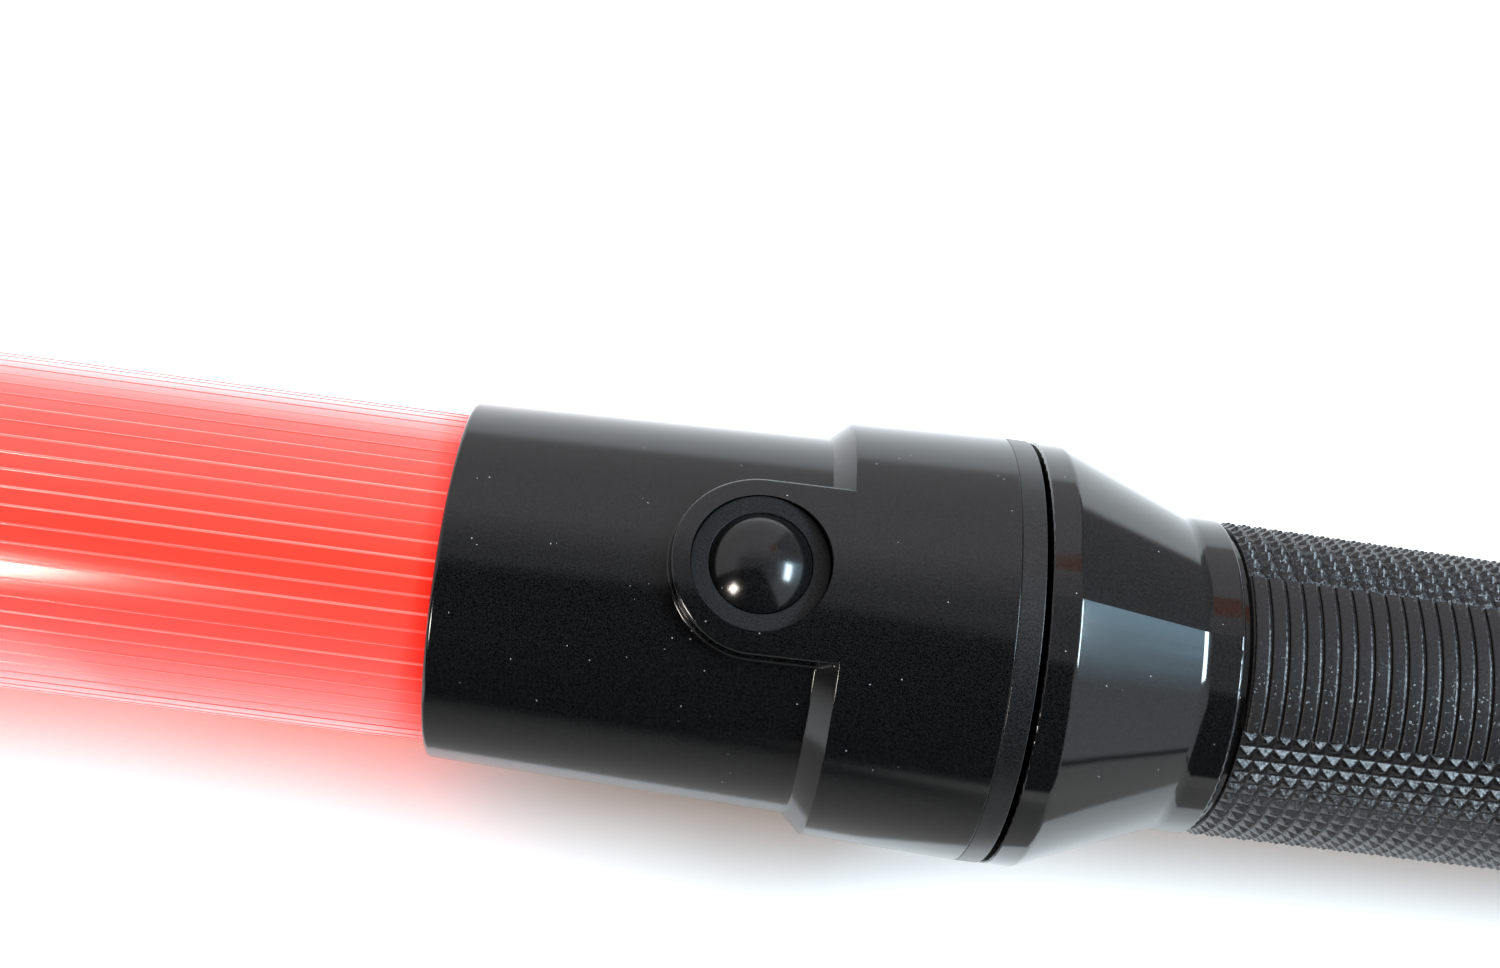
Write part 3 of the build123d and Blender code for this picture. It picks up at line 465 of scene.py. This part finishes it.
# ---- Tube with its fine lines -------------------------------------------------------------
LINES = 62
LINE_PITCH = 2 * math.pi / LINES
LINE_PHASE = math.radians(1.2)
LINE_WIDTH = 0.30 * MM
LINE_ANGLE = LINE_WIDTH / TUBE_RADIUS
LINE_SHARE = LINE_ANGLE / LINE_PITCH
LINE_RISE = 0.08 * MM
LINE_STEPS = 6
SMOOTH_STEPS = 5


def tube_section():
    """Angle and outer radius round the tube: smooth stretches with a narrow rounded bead between them."""
    smooth = TUBE_RADIUS - LINE_RISE
    gap = LINE_PITCH - LINE_ANGLE
    section = []
    for line in range(LINES):
        start = LINE_PHASE + line * LINE_PITCH - LINE_ANGLE / 2
        for step in range(LINE_STEPS + 1):
            share = step / LINE_STEPS
            section.append((start + LINE_ANGLE * share, smooth + LINE_RISE * 4 * share * (1 - share)))
        end = start + LINE_ANGLE
        section += [(end + gap * step / SMOOTH_STEPS, smooth) for step in range(1, SMOOTH_STEPS)]
    return section


def light_tube():
    """Tube wall with its lines, a turned foot inside the head, and a smooth bore."""
    section = tube_section()

    def ring(x, limit):
        """The section at x, turned down to a limit."""
        return [around(x, min(radius, limit), angle) for angle, radius in section]

    rings = [
        ring(TUBE_LOW.x, TUBE_RADIUS),
        ring(TUBE_SHOULDER_X, TUBE_RADIUS),
        ring(TUBE_SHOULDER_X, TUBE_FOOT_RADIUS),
        ring(TUBE_HIGH.x, TUBE_FOOT_RADIUS),
        ring(TUBE_HIGH.x, TUBE_BORE),
        ring(TUBE_LOW.x, TUBE_BORE),
    ]
    mesh = new_mesh("lined_tube", *lathe(rings))
    piece("lined_tube", mesh, "tube_red", "head", "light_tube", sharp=22.0)


# ---- Grip with its pyramids and ribs ------------------------------------------------------
PITCH_X = 2.0 * MM
GRIP_PITCHES = int((GRIP_HIGH.x - GRIP_LOW.x) / PITCH_X)
PYRAMIDS_AROUND = 57
PYRAMID_HEIGHT = 0.62 * MM
PYRAMID_TOP = 0.10                   # share of a pitch
PYRAMID_GAP = 0.10                   # share of a pitch
PANEL_CENTRE = -math.radians(3.6)
PANEL_HALF = math.radians(28.5)
PANEL_EDGE = math.radians(0.35)
PANEL_STEPS = 36
RIB_DEPTH = 0.36 * MM
RIB_GROOVE = 0.24 * MM


def grip_radius(x):
    """Outer radius of the grip at x: a slight taper, then straight."""
    share = min(1.0, (x - GRIP_LOW.x) / GRIP_TAPER_LENGTH)
    return GRIP_FRONT_RADIUS + (GRIP_RADIUS - GRIP_FRONT_RADIUS) * share


def shell(columns, rows, depth_at):
    """Closed curved plate between the grip's bore and its relief, over columns in x and rows of angle.

    depth_at gives how far a grid point lies below the grip's outer radius. A cell with one raised
    corner is split so that its diagonal runs up a pyramid's edge.
    """
    depths = [[depth_at(i, j) for j in range(len(rows))] for i in range(len(columns))]
    points, faces = [], []
    for i, x in enumerate(columns):
        points += [around(x, grip_radius(x) - depths[i][j], angle) for j, angle in enumerate(rows)]
    inner = len(points)
    for x in columns:
        points += [around(x, GRIP_BORE, angle) for angle in rows]
    width = len(rows)
    for i in range(len(columns) - 1):
        for j in range(width - 1):
            a, b = i * width + j, i * width + j + 1
            c, d = (i + 1) * width + j + 1, (i + 1) * width + j
            if (depths[i][j] < depths[i][j + 1]) != (depths[i + 1][j] < depths[i + 1][j + 1]):
                corner_low = min(depths[i][j], depths[i + 1][j + 1])
                other_low = min(depths[i][j + 1], depths[i + 1][j])
                along_ac = corner_low < other_low
                faces += [(a, b, c), (a, c, d)] if along_ac else [(a, b, d), (b, c, d)]
            else:
                faces.append((a, b, c, d))
            faces.append((inner + d, inner + c, inner + b, inner + a))
    rim = [(0, j) for j in range(width)]
    rim += [(i, width - 1) for i in range(1, len(columns))]
    rim += [(len(columns) - 1, j) for j in range(width - 2, -1, -1)]
    rim += [(i, 0) for i in range(len(columns) - 2, 0, -1)]
    loop = [i * width + j for i, j in rim]
    for k, start in enumerate(loop):
        end = loop[(k + 1) % len(loop)]
        faces.append((end, start, inner + start, inner + end))
    return points, faces


def pyramid_field():
    """Square pyramids in rows round the grip, everywhere but on the rib panel."""
    profile = [-0.5 + PYRAMID_GAP / 2, -PYRAMID_TOP / 2, PYRAMID_TOP / 2, 0.5 - PYRAMID_GAP / 2]
    pitch_angle = (2 * math.pi - 2 * PANEL_HALF) / PYRAMIDS_AROUND
    start_angle = PANEL_CENTRE + PANEL_HALF
    columns = [GRIP_LOW.x + (i + 0.5 + at) * PITCH_X for i in range(GRIP_PITCHES) for at in profile]
    rows = [start_angle + (j + 0.5 + at) * pitch_angle for j in range(PYRAMIDS_AROUND) for at in profile]
    columns = [GRIP_LOW.x] + columns + [GRIP_HIGH.x]
    rows = [start_angle] + rows + [start_angle + PYRAMIDS_AROUND * pitch_angle]

    def depth_at(i, j):
        """After the first column and row, the middle two of every four carry a pyramid's flat top."""
        raised = i % 4 in (2, 3) and j % 4 in (2, 3)
        return 0.0 if raised else PYRAMID_HEIGHT

    return shell(columns, rows, depth_at)


def rib_panel():
    """Ribs round the grip on the button's side: wide bands with a narrow groove between them."""
    profile = [
        (0.0, RIB_DEPTH),
        (RIB_GROOVE - 0.06 * MM, RIB_DEPTH),
        (RIB_GROOVE, 0.10 * MM),
        (RIB_GROOVE + 0.10 * MM, 0.03 * MM),
        (PITCH_X * 0.55, 0.0),
        (PITCH_X - 0.36 * MM, 0.01 * MM),
        (PITCH_X - 0.22 * MM, 0.05 * MM),
        (PITCH_X - 0.12 * MM, 0.10 * MM),
        (PITCH_X - 0.02 * MM, 0.22 * MM),
    ]
    columns = [GRIP_LOW.x + i * PITCH_X + at for i in range(GRIP_PITCHES) for at, _ in profile]
    columns.append(GRIP_HIGH.x)
    half = PANEL_HALF - PANEL_EDGE
    rows = [PANEL_CENTRE - half + 2 * half * k / PANEL_STEPS for k in range(PANEL_STEPS + 1)]

    def depth_at(i, _):
        """The profile's depth, and a groove again in the last column."""
        return profile[i % len(profile)][1]

    return shell(columns, rows, depth_at)


def handle_grip():
    """The grip in one piece: its pyramids and its rib panel."""
    mesh = new_mesh("textured_grip", *join(pyramid_field(), rib_panel()))
    piece("textured_grip", mesh, "grip_black", "handle", "handle_grip", sharp=12.0)


# ---- Head with its boss -------------------------------------------------------------------
LIP_ROUND = 0.6 * MM
STEP_ROUND = 0.3 * MM
SHOULDER_ROUND = 0.25 * MM
SEAM_ROUND = 0.12 * MM
ROUND_STEPS = 8
HEAD_SEGMENTS = 192
HEAD_STRIP = 1.5 * MM
HEAD_OUTSIDE = [
    (LIP_X, LIP_RADIUS),
    (STEP_X, STEP_RADIUS),
    (SHOULDER_X, SHOULDER_RADIUS),
    (SEAM_X, HEAD_RADIUS),
]
HEAD_INSIDE = [
    (SEAM_X, RING_BORE),
    (RING_SEAT_X, RING_BORE),
    (RING_SEAT_X, CARRIER_BORE),
    (CARRIER_X, CARRIER_BORE),
    (CARRIER_X, CAVITY_RADIUS),
    (CAVITY_X, CAVITY_RADIUS),
    (CAVITY_X, BULKHEAD_BORE),
    (BULKHEAD_X, BULKHEAD_BORE),
    (BULKHEAD_X, SOCKET_RADIUS),
    (LIP_X, SOCKET_RADIUS),
]
BOSS_RADIUS = 10.45 * MM
BOSS_DRAFT_FROM = 18.0 * MM          # height above the axis at which the boss has its full radius
BOSS_SLOPE = math.tan(math.radians(4.0))
BOSS_BOTTOM = 19.9 * MM
BOSS_EDGE_ROUND = 0.35 * MM
BOSS_FOOT_ROUND = 0.30 * MM
BOSS_SKIRT = 1.3 * BOSS_FOOT_ROUND   # reach of the skirt that runs on under the fillet
BOSS_SKIRT_DEPTH = 0.02 * MM
BOSS_END = SHOULDER_X + 1.0 * MM - BUTTON_X
BOSS_SIDE_STEPS = 24
BOSS_ARC_STEPS = 96
BOSS_END_STEPS = 28
CROWN_RISE = 0.005 * MM              # keeps the crown just clear of the wide cone that it runs into
CROWN_STEPS = 8
WELL_STEPS = 128
WELL_TOP = 30.0 * MM                 # above every part of the boss
LEDGE_OVERLAP = 0.5 * MM             # into the bulkhead, so that no gap shows
LEDGE_BITE = 0.2 * MM                # into the cavity's wall


def rounded(points, radii):
    """Profile whose corners are arcs. A radius of 0 leaves a corner as it is."""
    profile = []
    count = len(points)
    for k, radius in enumerate(radii):
        corner = Vector(points[k])
        if radius == 0:
            profile.append(corner)
            continue
        back = (Vector(points[k - 1]) - corner).normalized()
        ahead = (Vector(points[(k + 1) % count]) - corner).normalized()
        half = back.angle(ahead) / 2
        centre = corner + (back + ahead).normalized() * radius / math.sin(half)
        start = corner + back * radius / math.tan(half) - centre
        end = corner + ahead * radius / math.tan(half) - centre
        for step in range(ROUND_STEPS + 1):
            profile.append(centre + radius * start.slerp(end, step / ROUND_STEPS))
    return profile


def with_strips(profile):
    """Closed profile whose long straight runs are split evenly."""
    split = []
    for k, start in enumerate(profile):
        end = profile[(k + 1) % len(profile)]
        parts = max(1, math.ceil((end - start).length / HEAD_STRIP))
        split += [start.lerp(end, part / parts) for part in range(parts)]
    return split


def turned(profile):
    """Points and faces of a ring turned about the baton's axis."""
    angles = [2 * math.pi * k / HEAD_SEGMENTS for k in range(HEAD_SEGMENTS)]
    return lathe([[around(x, radius, angle) for angle in angles] for x, radius in profile])


def head_radius(x):
    """Outer radius of the head at x, without its roundings."""
    for (x_start, start), (x_end, end) in zip(HEAD_OUTSIDE, HEAD_OUTSIDE[1:]):
        if x <= x_end:
            return start + (end - start) * (x - x_start) / (x_end - x_start)
    return HEAD_RADIUS


def crown_height(x, y):
    """Height of the boss's crown above the axis: the wide cone, carried on over the sleeve."""
    slope = (HEAD_RADIUS - SHOULDER_RADIUS) / (SEAM_X - SHOULDER_X)
    radius = SHOULDER_RADIUS + slope * (x - SHOULDER_X) + CROWN_RISE
    return math.sqrt(radius * radius - y * y)


def sleeve_height(x, y):
    """Height of the head's skin above the axis."""
    radius = head_radius(x)
    return math.sqrt(radius * radius - y * y)


def boss_plan():
    """Points round the boss's foot, each with its outward direction, seen from above the button."""
    plan = []
    for k in range(BOSS_SIDE_STEPS):
        plan.append((BOSS_END * (1 - k / BOSS_SIDE_STEPS), BOSS_RADIUS, 0.0, 1.0))
    for k in range(BOSS_ARC_STEPS):
        angle = math.pi * (0.5 + k / BOSS_ARC_STEPS)
        out_x, out_y = math.cos(angle), math.sin(angle)
        plan.append((BOSS_RADIUS * out_x, BOSS_RADIUS * out_y, out_x, out_y))
    for k in range(BOSS_SIDE_STEPS):
        plan.append((BOSS_END * k / BOSS_SIDE_STEPS, -BOSS_RADIUS, 0.0, -1.0))
    for k in range(BOSS_END_STEPS):
        plan.append((BOSS_END, BOSS_RADIUS * (2 * k / BOSS_END_STEPS - 1), 0.0, 0.0))
    return plan


def boss_loop(grow, height_at):
    """The boss's plan at a height, grown sideways and leaning in with the draft."""
    points = []
    for plan_x, plan_y, out_x, out_y in boss_plan():
        lean = grow - (height_at(BUTTON_X + plan_x, plan_y) - BOSS_DRAFT_FROM) * BOSS_SLOPE
        x = BUTTON_X + plan_x + out_x * lean
        y = plan_y + out_y * lean
        points.append(Vector((x, y, AXIS_HEIGHT + height_at(x, y))))
    return points


def boss_foot():
    """Loops of the skirt that runs under the head's skin, and of the fillet above it."""
    loops = [
        boss_loop(BOSS_FOOT_ROUND, lambda x, y: BOSS_BOTTOM),
        boss_loop(BOSS_SKIRT, lambda x, y: sleeve_height(x, y) - BOSS_SKIRT_DEPTH),
    ]
    for step in range(ROUND_STEPS + 1):
        turn = math.pi / 2 * step / ROUND_STEPS
        rise = BOSS_FOOT_ROUND * (1 - math.cos(turn))
        grow = BOSS_FOOT_ROUND * (1 - math.sin(turn))

        def fillet_height(x, y, rise=rise):
            """Height on the fillet, which ends where the rounded edge begins."""
            return min(sleeve_height(x, y) + rise, crown_height(x, y) - BOSS_EDGE_ROUND)

        loops.append(boss_loop(grow, fillet_height))
    return loops


def boss_edge():
    """Loops of the rounded edge between the boss's sides and its crown."""
    loops = []
    for step in range(ROUND_STEPS + 1):
        turn = math.pi / 2 * step / ROUND_STEPS
        drop = BOSS_EDGE_ROUND * (1 - math.sin(turn))
        shrink = BOSS_EDGE_ROUND * (1 - math.cos(turn))
        loops.append(boss_loop(-shrink, lambda x, y, drop=drop: crown_height(x, y) - drop))
    return loops


def boss_crown(edge):
    """Loops from the rounded edge to the bezel's recess, and the recess's wall."""
    loops = []
    for step in range(1, CROWN_STEPS + 1):
        share = step / CROWN_STEPS
        points = []
        for point in edge:
            bearing = math.atan2(point.y, point.x - BUTTON_X)
            hole_x = BUTTON_X + BEZEL_RECESS_RADIUS * math.cos(bearing)
            hole_y = BEZEL_RECESS_RADIUS * math.sin(bearing)
            x = point.x + (hole_x - point.x) * share
            y = point.y + (hole_y - point.y) * share
            points.append(Vector((x, y, AXIS_HEIGHT + crown_height(x, y))))
        loops.append(points)
    loops.append([Vector((x, y, AXIS_HEIGHT + BOSS_BOTTOM)) for x, y, _ in loops[-1]])
    return loops


def boss():
    """Boss round the button: foot fillet, drafted sides, rounded edge and a crown with a round hole."""
    edge = boss_edge()
    return lathe(boss_foot() + edge + boss_crown(edge[-1]))


def ledge(side):
    """Ledge under the switch board, along one wall of the cavity. The side is 1 or -1."""
    reach = CAVITY_RADIUS + LEDGE_BITE
    section = [(LEDGE_INNER_Y, LEDGE_BOTTOM), (LEDGE_INNER_Y, LEDGE_TOP)]
    for height in (LEDGE_TOP, LEDGE_BOTTOM):
        section.append((math.sqrt(reach * reach - height * height), height))
    points = []
    for x in (CAVITY_X - LEDGE_OVERLAP, CARRIER_X):
        points += [(x, side * y, AXIS_HEIGHT + z) for y, z in section]
    faces = [(k, (k + 1) % 4, (k + 1) % 4 + 4, k + 4) for k in range(4)]
    return points, faces + [(0, 1, 2, 3), (4, 5, 6, 7)]


def button_well():
    """Stepped plug that cuts the bezel's recess and the well of the button's flange."""
    outline = [
        (FLANGE_WELL_RADIUS, FLANGE_WELL_BOTTOM),
        (FLANGE_WELL_RADIUS, BEZEL_SEAT),
        (BEZEL_RECESS_RADIUS, BEZEL_SEAT),
        (BEZEL_RECESS_RADIUS, WELL_TOP),
    ]
    turns = [2 * math.pi * k / WELL_STEPS for k in range(WELL_STEPS)]
    rings = []
    for radius, height in outline:
        z = AXIS_HEIGHT + height
        rings.append([(BUTTON_X + radius * math.cos(turn), radius * math.sin(turn), z) for turn in turns])
    points, faces = lathe(rings)
    # A flat bottom and top instead of the faces that join the last ring to the first
    bottom = tuple(range(WELL_STEPS))
    top = tuple(range(len(points) - WELL_STEPS, len(points)))
    return points, faces[:-WELL_STEPS] + [bottom, top]


def cut(mesh, cutter):
    """The mesh with another mesh cut out of it."""
    blank = bpy.data.objects.new("blank", mesh)
    tool = bpy.data.objects.new("tool", cutter)
    for made in (blank, tool):
        bpy.context.scene.collection.objects.link(made)
    modifier = blank.modifiers.new("cut", "BOOLEAN")
    modifier.object = tool
    modifier.solver = "EXACT"
    result = bpy.data.meshes.new_from_object(blank.evaluated_get(bpy.context.evaluated_depsgraph_get()))
    for made in (blank, tool):
        bpy.data.objects.remove(made)
    return result


def moulded_head():
    """Head with fine roundings, its stepped bore, the boss and the ledges of the switch board."""
    radii = [LIP_ROUND, STEP_ROUND, SHOULDER_ROUND, SEAM_ROUND] + [0] * len(HEAD_INSIDE)
    skin = turned(with_strips(rounded(HEAD_OUTSIDE + HEAD_INSIDE, radii)))
    bored = cut(new_mesh("head_skin", *skin), new_mesh("button_well", *button_well()))
    shape = bmesh.new()
    shape.from_mesh(bored)
    shape.from_mesh(new_mesh("boss", *join(boss(), ledge(1), ledge(-1))))
    mesh = bpy.data.meshes.new("moulded_head")
    shape.to_mesh(mesh)
    shape.free()
    made = piece("moulded_head", mesh, "head_black", "head", "head_housing", sharp=40.0)
    made.modifiers.new("even_normals", "WEIGHTED_NORMAL").keep_sharp = True


# ---- Button's spring ----------------------------------------------------------------------
def button_coil():
    """Copy of the button's spring, with a mesh of its own, riding on the head."""
    spring = bpy.data.objects["button_spring"]
    mesh = spring.data.copy()
    mesh.transform(spring.matrix_world)
    coil = piece("button_coil", mesh, "spring_steel", "head", "button_spring")
    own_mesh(coil)


# ---- Table and a sheet of painted reflection ----------------------------------------------
FLOOR_HALF = 6.0
REFLECTION_SHEET_HEIGHT = 1.0 * MM
REFLECTION_SHEET_NEAR = -0.036                  # Y of the edge along the head
REFLECTION_SHEET_FAR = -6.0
REFLECTION_SHEET_FADE_END = -0.60               # Y at which the painted reflection is darkest
REFLECTION_SHEET_FADE_POWER = 2.6
REFLECTION_SHEET_EDGE = [
    (0.01, REFLECTION_SHEET_NEAR),
    (0.11, REFLECTION_SHEET_NEAR),
    (0.14, -0.058),
    (0.60, -0.20),
    (6.0, REFLECTION_SHEET_FAR),
    (-2.2, REFLECTION_SHEET_FAR),
]


def flat(name, paint_name, outline, height):
    """Flat sheet with a new material, and the emptied graph of that material."""
    mesh = bpy.data.meshes.new(name)
    mesh.from_pydata([(x, y, height) for x, y in outline], [], [tuple(range(len(outline)))])
    paint = bpy.data.materials.new(paint_name)
    mesh.materials.append(paint)
    made = bpy.data.objects.new(name, mesh)
    bpy.context.scene.collection.objects.link(made)
    return made, Graph(paint)


def floor():
    """Pale table. It glows faintly, so that the shadows on it stay pale."""
    half = FLOOR_HALF
    corners = [(-half, -half), (half, -half), (half, half), (-half, half)]
    made, graph = flat("floor", "floor_white", corners, 0.0)
    mottle = graph.noise(graph.place(), 8.0, 3.0)
    graph.surface({
        "Base Color": graph.blend(mottle, (0.83, 0.85, 0.85, 1.0), (0.86, 0.88, 0.88, 1.0)),
        "Roughness": 0.6,
        "Emission Color": (1.0, 0.74, 0.60, 1.0),
        "Emission Strength": 0.24,
    })


def painted_reflection_sheet():
    """Sheet just above the table in front of the baton, seen only in the gloss, which it keeps dark: a
    painted reflection that glows pale grey along the head, fades to near black away from it, and glows
    light grey beside the grip.
    """
    made, graph = flat("painted_reflection_sheet", "cloth_grey", REFLECTION_SHEET_EDGE, REFLECTION_SHEET_HEIGHT)
    for kind in ("camera", "diffuse", "transmission", "shadow"):
        setattr(made, "visible_" + kind, False)
    along, across, _ = graph.add("ShaderNodeSeparateXYZ", {0: graph.place()}).outputs
    # Painted reflection: the sheet's glow is pale along the head's edge, fades to dark away from it, and
    # is light beside the grip.
    nearness = graph.span(across, REFLECTION_SHEET_NEAR, REFLECTION_SHEET_FADE_END, 1.0, 0.0)
    shade = graph.blend(graph.calc("POWER", nearness, REFLECTION_SHEET_FADE_POWER), grey(0.02), grey(0.62))
    beside_grip = graph.span(along, 0.14, 0.22, 0.0, 1.0)
    graph.surface({
        "Base Color": (0.0, 0.0, 0.0, 1.0),
        "Specular IOR Level": 0.0,
        "Emission Color": graph.blend(beside_grip, shade, grey(0.90)),
        "Emission Strength": 1.0,
    })


# ---- Room, lights and camera --------------------------------------------------------------
def surroundings():
    """Room seen in the gloss: bright, but dark where the photographer stands, and a glow past the tail.

    lean runs from straight up towards -Y, heading runs round from +X towards +Y, and rise is the angle
    above the table.
    """
    world = bpy.data.worlds.new("room")
    bpy.context.scene.world = world
    graph = Graph(world)
    direction = graph.add("ShaderNodeTexCoord").outputs["Generated"]
    x, y, z = graph.add("ShaderNodeSeparateXYZ", {0: direction}).outputs
    lean = graph.calc("ARCTAN2", graph.calc("MULTIPLY", y, -1.0), z)
    heading = graph.calc("ARCTAN2", y, x)
    rise = graph.calc("ARCSINE", z)

    def step(value, start, end):
        """0 before the start angle and 1 after the end angle, both in degrees."""
        return graph.span(value, math.radians(start), math.radians(end), 0.0, 1.0)

    def within(value, start, end, soft):
        """1 between two angles, with soft edges."""
        return graph.calc("MULTIPLY", step(value, start - soft, start), step(value, end + soft, end))

    def tinted(mask, under, over):
        """A colour laid over another one where the mask is 1."""
        return graph.blend(mask, under, (*over, 1.0))

    sky = graph.blend(step(rise, 45.0, 4.0), (1.00, 0.98, 1.02, 1.0), (0.90, 0.89, 0.91, 1.0))
    dusk = graph.calc("MULTIPLY", step(lean, -32.0, -8.0), 0.60)
    colour = tinted(graph.calc("MULTIPLY", dusk, step(rise, 45.0, 60.0)), sky, (0.03, 0.03, 0.03))
    corner = graph.calc("MULTIPLY", within(heading, 21.0, 62.0, 3.0), step(rise, 68.0, 40.0))
    colour = tinted(corner, colour, (0.40, 0.39, 0.41))
    shelf = graph.calc("MULTIPLY", within(heading, 57.0, 69.0, 2.0), within(rise, 44.0, 55.0, 2.0))
    colour = tinted(shelf, colour, (0.95, 0.42, 0.30))
    wall = graph.calc("MULTIPLY", step(heading, -52.0, -48.0), step(heading, 20.5, 19.0))
    wall = graph.calc("MULTIPLY", wall, step(rise, 62.0, 42.0))
    colour = tinted(wall, colour, (0.90, 0.96, 1.00))
    skirting = graph.calc("MULTIPLY", wall, within(rise, -1.0, 2.0, 0.5))
    colour = tinted(skirting, colour, (0.08, 0.08, 0.09))
    glow = graph.calc("MULTIPLY", wall, step(heading, -19.0, 14.0))
    glow = graph.calc("MULTIPLY", glow, step(rise, 8.0, 30.0))
    folds = graph.span(graph.noise(direction, 14.0, 2.0), 0.3, 0.7, 0.65, 1.0)
    colour = tinted(graph.calc("MULTIPLY", glow, folds), colour, (2.9, 4.6, 5.8))
    person = graph.calc("MULTIPLY", step(lean, -3.0, 8.0), within(heading, -165.0, -54.0, 4.0))
    person = graph.calc("MULTIPLY", person, step(lean, 125.0, 110.0))
    colour = tinted(person, colour, (0.03, 0.03, 0.031))
    seen = graph.add("ShaderNodeLightPath").outputs["Is Camera Ray"]
    colour = graph.blend(seen, colour, (1.0, 1.0, 1.0, 1.0))
    background = graph.add("ShaderNodeBackground", {"Color": colour, "Strength": 1.0})
    graph.add("ShaderNodeOutputWorld", {"Surface": background.outputs[0]})


def lamp(name, place, target, size, power, colour):
    """Soft rectangular light that faces its target."""
    light = bpy.data.lights.new(name, "AREA")
    light.shape = "RECTANGLE"
    light.size, light.size_y = size
    light.energy = power
    light.color = colour
    made = bpy.data.objects.new(name, light)
    made.location = place
    made.rotation_mode = "QUATERNION"
    made.rotation_quaternion = (Vector(target) - Vector(place)).to_track_quat("-Z", "Y")
    bpy.context.scene.collection.objects.link(made)
    return made


def lights():
    """Window past the tail, a desk lamp that only reflects, and a key light that doesn't."""
    lamp(
        "window",
        place=(1.03, 0.0, 0.84),
        target=(0.12, 0.0, 0.05),
        size=(0.54, 0.26),
        power=17.0,
        colour=(0.70, 0.88, 1.0),
    )
    desk = lamp(
        "desk_lamp",
        place=(-0.118, -0.205, 0.215),
        target=(BUTTON_X, 0.0, 0.05),
        size=(0.070, 0.090),
        power=0.75,
        colour=(1.0, 0.93, 0.84),
    )
    desk.visible_diffuse = False
    key = lamp(
        "key",
        place=(0.75, 0.35, 1.40),
        target=(0.10, 0.0, 0.0),
        size=(0.9, 0.9),
        power=24.0,
        colour=(0.96, 0.99, 1.0),
    )
    key.visible_glossy = False


CAMERA_PLACE = Vector((0.0802, -0.0553, 0.23295))
CAMERA_RIGHT = Vector((0.99025, 0.11173, 0.08316))
CAMERA_UP = Vector((-0.13282, 0.93726, 0.32233))
LENS_MM = 41.73
SENSOR_MM = 36.0


def camera():
    """Camera above the baton, looking steeply down and rolled a little."""
    back = CAMERA_RIGHT.cross(CAMERA_UP)
    pose = Matrix((CAMERA_RIGHT, CAMERA_UP, back)).transposed().to_4x4()
    pose.translation = CAMERA_PLACE
    data = bpy.data.cameras.new("camera")
    data.lens = LENS_MM
    data.sensor_width = SENSOR_MM
    data.clip_start = 0.01
    made = bpy.data.objects.new("camera", data)
    made.matrix_world = pose
    bpy.context.scene.collection.objects.link(made)
    bpy.context.scene.camera = made


camera()
floor()
painted_reflection_sheet()
surroundings()
lights()
make_materials()
light_tube()
moulded_head()
handle_grip()
button_coil()
bpy.context.scene.view_settings.view_transform = "Standard"
